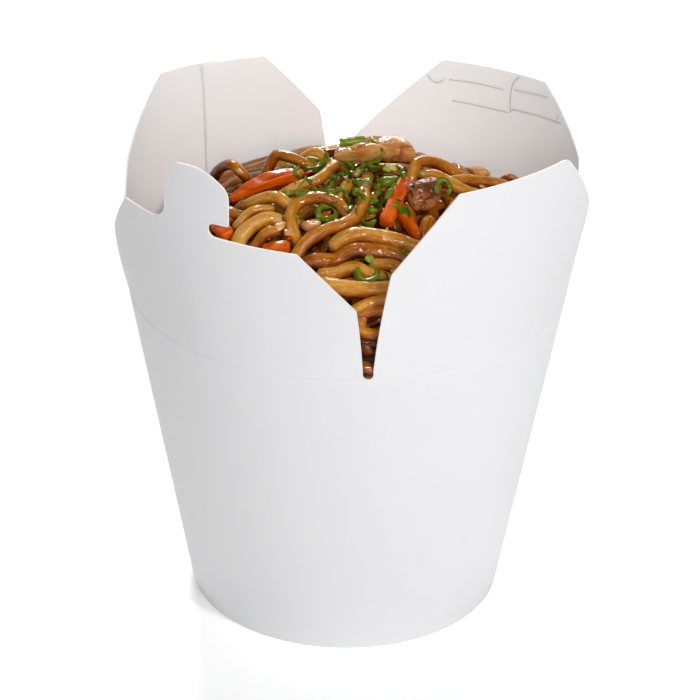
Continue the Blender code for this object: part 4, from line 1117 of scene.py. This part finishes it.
onion = {
    # rings and curls: x, y, height over the dome, ring radius, share of the full turn, where it starts, tilt towards the
    # front, breadth of the band and its thickness
    "rings": [
        (-9.2, 5.3, 0.3, 2.73, 0.93, 60, 8, 1.2, 0.9),
        (-6.6, -7.2, 0.1, 2.91, 0.78, 130, 5, 1.6, 0.9),
        (-2.0, -12.7, 1.2, 1.82, 0.55, -40, 31, 1.5, 0.8),
        (-1.2, 6.8, -2.0, 2.55, 0.8, 20, 4, 1.6, 0.8),
        (7.8, 9.8, -1.3, 3.16, 0.72, 75, 6, 1.4, 0.8),
        (4.9, -19.7, -0.4, 2.49, 0.85, 40, 10, 1.4, 0.9),
        (-5.3, -18.7, 0.5, 2.82, 1, 0, 33, 1.1, 1.2),
        (2.4, -17.4, 3.7, 1.82, 0.5, -30, 40, 1.8, 0.6),
        (-12.4, -1.2, 1.8, 1.82, 0.5, 100, 31, 1.1, 0.7),
        (8.7, -4.7, -1.8, 1.82, 0.62, 60, 50, 1.3, 0.8),
        (23.8, -9.0, 4.8, 2.42, 0.8, -60, 34, 1.3, 1),
        (4.9, -39.2, 1.7, 3.36, 1, 0, 4, 1.2, 1),
        (11.9, 2.8, -0.0, 2.06, 0.45, -60, 11, 1.2, 0.7),
    ],
    # leaves: x, y, height over the dome, length, width, turn, curl in degrees, pale share
    "leaves": [
        (-6.5, 4.0, 2.2, 4.1, 1.3, 52, 30, 0.15), (-15.9, 2.8, 1.8, 2.2, 1.0, 5, 40, 0.3), (-11.8, -8.8, 3.1, 3.6, 0.4, 68, 30, 0.3), (-11.8, -14.4, 3.7, 4.2, 1.8, 10, 60, 0.1),
        (-15.3, -10.2, 1.4, 2.5, 1.3, -8, 40, 0.35), (-10.0, -8.7, 3.1, 1.7, 0.6, -35, 30, 0.2), (-4.6, -15.9, 4.1, 2.2, 1.2, 30, 50, 0.1), (-4.7, -4.7, 1.2, 2.7, 1.5, 0, 40, 0),
        (0.2, 6.8, -0.8, 2.7, 1.0, -50, 50, 0.15), (2.1, 5.8, -2.4, 3.2, 1.7, 65, 40, 0.5), (3.3, 5.8, -0.8, 1.8, 1.0, 70, 30, 0.1), (5.7, -2.5, 0.4, 1.6, 0.7, 80, 30, 0.2),
        (3.2, -9.4, 2.7, 4.9, 1.4, 8, 60, 0.12), (1.2, -8.7, 1.2, 2.4, 1.2, 40, 40, 0.05), (10.3, 2.8, 0.3, 3.2, 1.5, -5, 40, 0.75), (10.8, 2.8, -1.2, 3.9, 1.0, 8, 50, 0.05),
        (9.7, -3.4, 0.2, 5.6, 2.4, 6, 70, 0.22), (11.6, -10.9, 3.0, 3.0, 1.0, 80, 40, 0.15), (7.2, -9.2, 0.3, 3.2, 1.1, 62, 50, 0.1), (10.3, -13.4, 2.6, 3.4, 1.4, 48, 60, 0.15),
        (5.7, -16.2, 2.3, 3.6, 1.5, 12, 60, 0.1), (8.2, -8.7, -2.5, 2.7, 1.3, -30, 50, 0.1), (7.6, -10.2, -2.9, 2.8, 1.4, 85, 50, 0.35), (5.7, -17.3, 0.3, 3.0, 1.6, 12, 60, 0.25),
        (8.1, -11.7, -3.1, 1.7, 1.0, 40, 40, 0.2), (0.3, -11.0, -1.7, 2.3, 1.6, 75, 50, 0.1), (1.9, -23.2, 4.6, 2.7, 0.6, -62, 60, 0.15), (13.3, -18.3, 2.6, 2.2, 1.2, -20, 40, 0),
        (14.5, -19.8, 2.8, 3.2, 1.9, -40, 40, 0.05), (-0.6, -19.6, 2.3, 1.5, 1.1, -20, 40, 0.4), (13.9, -4.6, 3.1, 1.9, 1.2, 60, 50, 0.1), (17.7, 0.3, 0.9, 1.6, 0.8, 0, 30, 0.1),
        (6.3, 16.6, 2.3, 2.6, 0.6, -70, 50, 0.2), (7.7, 10.3, 2.7, 2.5, 0.6, -40, 60, 0.15), (6.7, 17.9, 3.2, 1.3, 0.9, 0, 30, 0.6), (9.2, -39.2, 0.8, 3.1, 1.5, -60, 50, 0.1),
        (14.2, -32.8, 2.8, 1.7, 1.2, 20, 30, 0.2), (10.6, -33.2, 3.7, 0.9, 0.7, 0, 20, 0.2), (5.4, -35.2, 1.7, 2.4, 1.5, -15, 40, 0.5), (13.1, -18.7, 2.7, 3.4, 1.5, -40, 50, 0.1),
        (-15.4, 2.8, 1.6, 3.1, 1.2, 8, 40, 0.1), (-15.3, -10.2, 1.4, 2.3, 0.9, 0, 30, 0.3), (-16.4, -19.7, 0.8, 1.3, 0.6, 70, 20, 0.2), (-13.2, -20.9, 1.7, 2.0, 0.7, 30, 30, 0.2),
        (-18.2, -2.7, 2.2, 0.8, 0.4, 60, 20, 0.2),
    ],
    "tube": (0.8, 12.4, 4.1, 6.4, 0.95, 14.0),  # lies on the pale chicken: x, y, height over the dome, length, radius, turn
    "leafTilt": 30, "thick": 0.5, "flecks": 38,
}
bits = {
    # x, y, height over the dome, length x width x height, turn
    "redBits": [
        (5.0, -19.6, 0.2, 2.6, 1.0, 0.8, 30), (12.6, 1.8, 0.2, 2.2, 0.8, 0.7, -20), (24.4, -9.4, 4.9, 2.0, 1.0, 0.8, 60), (10.4, -40.4, 1.0, 2.2, 1.0, 0.8, 70),
        (8.2, -5.4, -1.2, 2.0, 0.8, 0.7, 80), (16.8, -26.0, 2.2, 2.0, 1.4, 1.0, 20), (-10.8, 0.4, 0.6, 3.4, 1.4, 1.0, -15), (-8.8, 3.6, 0.0, 2.8, 1.2, 0.9, 20),
        (-14.6, -26.4, 1.0, 2.0, 1.0, 0.8, 40), (-5.3, -18.4, 0.4, 2.2, 1.2, 0.8, 10), (-6.4, -7.0, -0.6, 2.6, 1.0, 0.8, 15),
    ],
    "paleBits": [
        (-17.4, -23.2, 2.0, 4.2, 2.6, 2.2, 62), (-15.2, -21.6, 1.8, 3.6, 2.2, 1.9, 75), (-14.6, -25.0, 1.2, 3.4, 2.4, 1.8, 20),
        (-19.6, -9.8, 1.6, 3.4, 2.0, 1.6, 15), (-20.4, -20.8, 0.4, 3.6, 1.4, 1.2, 60), (-17.0, -21.6, 0.4, 3.0, 1.6, 1.2, 40), (-9.4, -24.6, 0.2, 3.0, 2.2, 1.8, -20),
        (27.0, -9.6, 1.8, 2.0, 1.4, 1.1, 30), (34.4, 4.2, 2.0, 2.6, 1.2, 1.0, 10), (9.6, -25.4, 1.4, 2.2, 1.0, 0.9, 75), (11.8, -37.0, 1.4, 2.6, 2.0, 1.4, 20),
        (-15.0, -7.6, 1.4, 2.2, 1.0, 0.9, 20), (-27.6, -19.4, 1.4, 2.0, 1.1, 0.9, 35), (7.6, -51.0, 0.6, 2.0, 1.4, 1.2, 80), (-3.2, -21.6, 1.2, 1.6, 1.0, 0.8, 0),
        (5.6, -18.8, 0.0, 1.6, 1.0, 0.8, 30),
    ],
    "darkBits": [(4.9, -52.2, 0.4, 4.6, 2.6, 5.4, 10), (-13.6, -24.0, 0.6, 3.4, 2.2, 1.6, 50), (-24.0, -16.6, 0.4, 2.6, 1.6, 1.2, 20)],
}


def groundAt(x, y):
    # the top of the food here, or the bottom of a gap between strands
    return max(float(cellAt(surface, np.array(x), np.array(y))), heapHeight(x, y) - 6)


def sliceStrip(line, wide, thin, width, thick, channel=0.0):
    # a band along a line: wide is its breadth direction, thin its thickness direction; fourteen points a ring, rounded
    # at the corners and bent to a channel across, depth = channel * width * (1 - 4 u^2), and closed by a face at each end
    upper = [(-0.5, 0.25), (-0.44, 0.5), (-0.22, 0.5), (0, 0.5), (0.22, 0.5), (0.44, 0.5), (0.5, 0.25)]
    corner = np.array(upper + [(u, -v) for u, v in upper[::-1]])
    width, thick = (np.broadcast_to(value, len(line))[:, None] for value in (width, thick))
    bent = channel * width * (1 - 4 * corner[:, 0] ** 2)
    points = line[:, None] + corner[None, :, :1] * (wide * width)[:, None] + (corner[None, :, 1:] * thick[:, None] + bent[..., None]) * thin[:, None]
    return points, corner[:, 1] > 0.1


def makeOnionMaterial():
    # green outside and pale within by the tone, with darker veins and a wet sheen
    material, tree, shader = newMaterial("springOnion")
    shader.inputs["Subsurface Weight"].default_value = 0.15
    shader.inputs["Subsurface Radius"].default_value = (0.0006, 0.001, 0.0003)
    shader.inputs["Subsurface Scale"].default_value = 1.0
    shader.inputs["Specular IOR Level"].default_value = 0.1
    shader.inputs["Coat Weight"].default_value = 0.35
    shader.inputs["Coat Roughness"].default_value = 0.08
    place = objectPlace(tree)
    tone = tree.nodes.new("ShaderNodeAttribute")
    tone.attribute_name = "tone"
    patch = noiseNode(tree, place, 500, 4, 0.6)
    share = mathNode(tree, "MULTIPLY_ADD", patch, 0.5, mathNode(tree, "SUBTRACT", tone.outputs["Fac"], 0.25), clamp=True)
    colour = rampNode(tree, share, [(0.0, (0.020, 0.042, 0.001)), (0.3, (0.068, 0.112, 0.001)), (0.6, (0.165, 0.22, 0.004)), (1.0, (0.56, 0.52, 0.14))])
    tree.links.new(colour, shader.inputs["Base Color"])
    tree.links.new(mathNode(tree, "MULTIPLY_ADD", patch, 0.3, 0.25), shader.inputs["Roughness"])
    bump = tree.nodes.new("ShaderNodeBump")
    bump.inputs["Strength"].default_value = 0.3
    bump.inputs["Distance"].default_value = 0.0002
    tree.links.new(patch, bump.inputs["Height"])
    tree.links.new(bump.outputs["Normal"], shader.inputs["Normal"])
    return material


def makeOnion():
    random = np.random.default_rng(61)
    points, faces, tones, count = [], [], [], 0

    def add(line, wide, thin, width, thick, outer, pale, channel=0.0):
        nonlocal count
        ring, isOuter = sliceStrip(line, wide, thin, width, thick, channel)
        rows, sides = ring.shape[:2]
        faces.extend(gridFaces(rows, sides, closed=True, start=count)[:, ::-1].tolist())
        faces.append(list(range(count, count + sides)))
        faces.append(list(range(count + (rows - 1) * sides, count + rows * sides))[::-1])
        points.append(ring.reshape(-1, 3))
        tones.append(np.tile(np.where(isOuter == outer, 0.3 + 0.8 * pale, 0.45 + pale), rows))
        count += rows * sides

    for x, y, over, radius, share, turn, tilt, width, thick in onion["rings"]:
        t = np.linspace(0, 1, 34) if share < 1 else np.linspace(0, 0.995, 40)
        a = math.radians(turn) + 2 * math.pi * share * t
        middle = radius - thick / 2
        r = middle * (1 + 0.09 * np.sin(2 * a + x) + 0.05 * np.sin(3 * a + y))
        flat = np.stack([r * np.cos(a), r * np.sin(a), 0.25 * np.sin(2 * a + 1.7 * x)], -1)
        outward = unit(np.stack([np.cos(a), np.sin(a), 0.25 * np.sin(a + x)], -1))
        lean = np.array(Matrix.Rotation(math.radians(tilt), 3, "X") @ Matrix.Rotation(0.12 * math.sin(3 * x), 3, "Y"))
        centre = onHeap(x, y, over + 0.3)
        wide = unit(np.cross(outward, np.cross((0, 0, 1.0), outward)))
        swell = width * (1 + 0.2 * np.sin(3 * a + y))
        if share < 1:
            swell = swell * np.clip(np.minimum(t, 1 - t) * 6 + 0.35, 0, 1)
        add(flat @ lean.T + centre, wide @ lean.T, outward @ lean.T, swell * 1.15, thick * 1.15 * (1 + 0.15 * np.sin(4 * a)), True, 0.1)
    leaves = list(onion["leaves"])
    for _ in range(onion["flecks"]):
        a, r = random.uniform(-math.pi, math.pi), 16 * math.sqrt(random.uniform())
        x, y = 2 + r * math.cos(a), -9 + 0.85 * r * math.sin(a)
        leaves.append((x, y, groundAt(x, y) - heapHeight(x, y), random.uniform(0.6, 1.5), random.uniform(0.4, 0.8), random.uniform(0, 180), 30, random.uniform(-0.1, 0.3)))
    ahead = np.array([1.0, 0, 0])
    rearward = np.array([0, math.cos(math.radians(onion["leafTilt"])), math.sin(math.radians(onion["leafTilt"]))])
    facing = np.cross(ahead, rearward)
    for x, y, over, length, width, turn, curl, pale in leaves:
        # a leaf lies in a plane that leans to the front, its middle line bent to an arc of this many degrees
        t = np.linspace(-0.5, 0.5, 15 if length > 1.6 else 6)
        bend = math.radians(curl)
        c, sn = math.cos(math.radians(turn)), math.sin(math.radians(turn)) * 1.1
        lengthways = unit(c * ahead + sn * rearward)
        across = np.cross(facing, lengthways)
        along, dip = length * np.sin(bend * t) / bend, length * (1 - np.cos(bend * t)) / bend
        sway = 0.10 * length * np.sin(4 * t + 5 * x)
        line = onHeap(x, y, over + 0.35) + along[:, None] * lengthways - (dip - dip.mean())[:, None] * facing + sway[:, None] * across
        tangent = unit(np.gradient(line, axis=0))
        roll = 0.5 * math.sin(2.3 * x + y) + 0.9 * t * math.sin(5 * y)
        wide = np.cos(roll)[:, None] * across + np.sin(roll)[:, None] * facing
        thin = unit(np.cross(tangent, wide))
        wide = np.cross(thin, tangent)
        thin = thin * np.sign(np.sum(thin * facing, -1, keepdims=True))
        breadth = 1.25 * width * (1 - 0.62 * np.abs(2 * t + 0.2 * math.sin(7 * x)) ** 2.5).clip(0.25, 1) * (1 + 0.14 * np.sin(9 * t + y))
        channel = 0.0 if length < 1.6 else 0.34 * np.sign(math.sin(9.7 * x + 3.1 * y))
        add(line, wide, thin, breadth, onion["thick"], True, pale, channel)
    x, y, over, length, radius, turn = onion["tube"]
    t = np.linspace(0, 1, 26)
    a = 2 * math.pi * t * 0.97
    slope = np.array([math.cos(math.radians(turn)), math.sin(math.radians(turn)), 0.06])
    beside = unit(np.array([-slope[1], slope[0], 0]))
    outward = np.cos(a)[:, None] * beside * 1.15 + np.sin(a)[:, None] * np.array([0, 0, 0.8])
    add(onHeap(x, y, over) + radius * outward, np.broadcast_to(unit(slope), outward.shape), unit(outward),
        length * (1 + 0.04 * np.sin(3 * a)), 0.6, True, 0.4)
    obj = putMesh("spring_onion", np.concatenate(points), faces, [makeOnionMaterial()], sharp=50, tone=np.concatenate(tones))
    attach(obj, "box")


def makeBits(name, material, tone, rough):
    # small crystals with noise pushed into them, resting on the food
    rows, columns = 13, 20
    rise, turn = np.meshgrid(np.linspace(-math.pi / 2, math.pi / 2, rows), np.linspace(0, 2 * math.pi, columns, endpoint=False), indexing="ij")
    ball = np.stack([np.cos(rise) * np.cos(turn), np.cos(rise) * np.sin(turn), np.sin(rise)], -1)
    points, faces, tones, count = [], [], [], 0
    for number, (x, y, over, length, width, height, angle) in enumerate(bits[name]):
        body = facetBall(ball, 11 * number + 5, 6, 7) * np.array([length, width, height]) / 2
        body = body * (1 + rough * softNoise(body + 9 * number, 0.8, number)[..., None])
        lean = Matrix.Rotation(math.radians(angle), 3, "Z") @ Matrix.Rotation(0.35 * math.sin(4 * number), 3, "Y")
        placed = body.reshape(-1, 3) @ (heapTilt(x, y) @ np.array(lean)).T + onHeap(x, y, over)
        first, shape = weld(placed, gridFaces(rows, columns, closed=True))
        shape, _ = plainFaces(shape)
        faces += [[a + count for a in face] for face in shape]
        points.append(placed[first])
        tones.append(np.full(len(first), tone + 0.15 * math.sin(number)))
        count += len(first)
    obj = putMesh(name, np.concatenate(points), faces, [material], tone=np.concatenate(tones))
    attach(obj, "box")


makeOnion()
makeBits("redBits", carrotFlesh, 0.2, 0.2)
makeBits("paleBits", meat, 0.0, 0.2)
makeBits("darkBits", meat, 0.95, 0.1)
print("onion and bits made")


# camera and light

view = {"place": (0.0, -1.1586, 0.7121), "target": (0.0008, 0.0, 0.0664), "lens": 261.9, "roll": 0.737}


def makeCamera():
    camera = bpy.data.cameras.new("camera")
    camera.lens, camera.sensor_width = view["lens"], 36
    camera.clip_start, camera.clip_end = 0.1, 20
    obj = bpy.data.objects.new("camera", camera)
    bpy.context.scene.collection.objects.link(obj)
    place, target = Vector(view["place"]), Vector(view["target"])
    facing = (target - place).to_track_quat("-Z", "Y").to_matrix().to_4x4()
    obj.matrix_world = Matrix.Translation(place) @ facing @ Matrix.Rotation(math.radians(view["roll"]), 4, "Z")
    bpy.context.scene.camera = obj


studio = {
    "lamps": {
        "front": {"place": (0.0, -1.3, 0.75), "size": 0.35, "power": 3.0},
        "frontRight": {"place": (0.5, -1.15, 0.78), "size": 0.3, "power": 4.2},
        "keyHigh": {"place": (0.6, -0.8, 1.0), "size": 0.2, "power": 7.3},
        "leftHigh": {"place": (-0.5, -0.6, 1.25), "size": 0.35, "power": 2.0},
        "back": {"place": (-0.2, 1.2, 0.9), "size": 0.28, "power": 14.5},
        "backLow": {"place": (0.2, 1.3, 0.35), "size": 0.5, "power": 6.6},
    },
    "aim": (0, 0, 0.09), "sky": 0.02, "floorColour": (0.9, 0.9, 0.9), "floorGlow": 0.29,
}


def makeStudio():
    for name, lamp in studio["lamps"].items():
        light = bpy.data.lights.new(name, "AREA")
        light.shape, light.size, light.energy = "DISK", lamp["size"], lamp["power"]
        obj = bpy.data.objects.new(name, light)
        bpy.context.scene.collection.objects.link(obj)
        place = Vector(lamp["place"])
        obj.matrix_world = Matrix.Translation(place) @ (Vector(studio["aim"]) - place).to_track_quat("-Z", "Y").to_matrix().to_4x4()
    world = bpy.data.worlds.new("studio")
    bpy.context.scene.world = world
    world.use_nodes = True
    tree = world.node_tree
    background = tree.nodes["Background"]
    direction = tree.nodes.new("ShaderNodeSeparateXYZ")
    tree.links.new(tree.nodes.new("ShaderNodeTexCoord").outputs["Generated"], direction.inputs[0])
    side = mathNode(tree, "MULTIPLY_ADD", direction.outputs["X"], 0.25, 0.75)
    tree.links.new(rampNode(tree, side, [(0.4, (0.75, 0.76, 0.78)), (1.0, (1, 1, 1))]), background.inputs["Color"])
    background.inputs["Strength"].default_value = studio["sky"]
    material, tree, shader = newMaterial("floorPaper", Roughness=0.9)
    shader.inputs["Base Color"].default_value = (*studio["floorColour"], 1)
    shader.inputs["Emission Color"].default_value = (1, 1, 1, 1)
    shader.inputs["Emission Strength"].default_value = studio["floorGlow"]
    x, y = np.meshgrid(np.linspace(-3000, 3000, 3), np.linspace(-3000, 3000, 3))
    points = np.stack([x, y, 0 * x - 0.05], -1).reshape(-1, 3)
    floor = putMesh("floor", points, gridFaces(3, 3).tolist(), [material])
    bpy.context.scene.view_settings.view_transform = "Standard"


makeCamera()
makeStudio()
print("camera and light made")
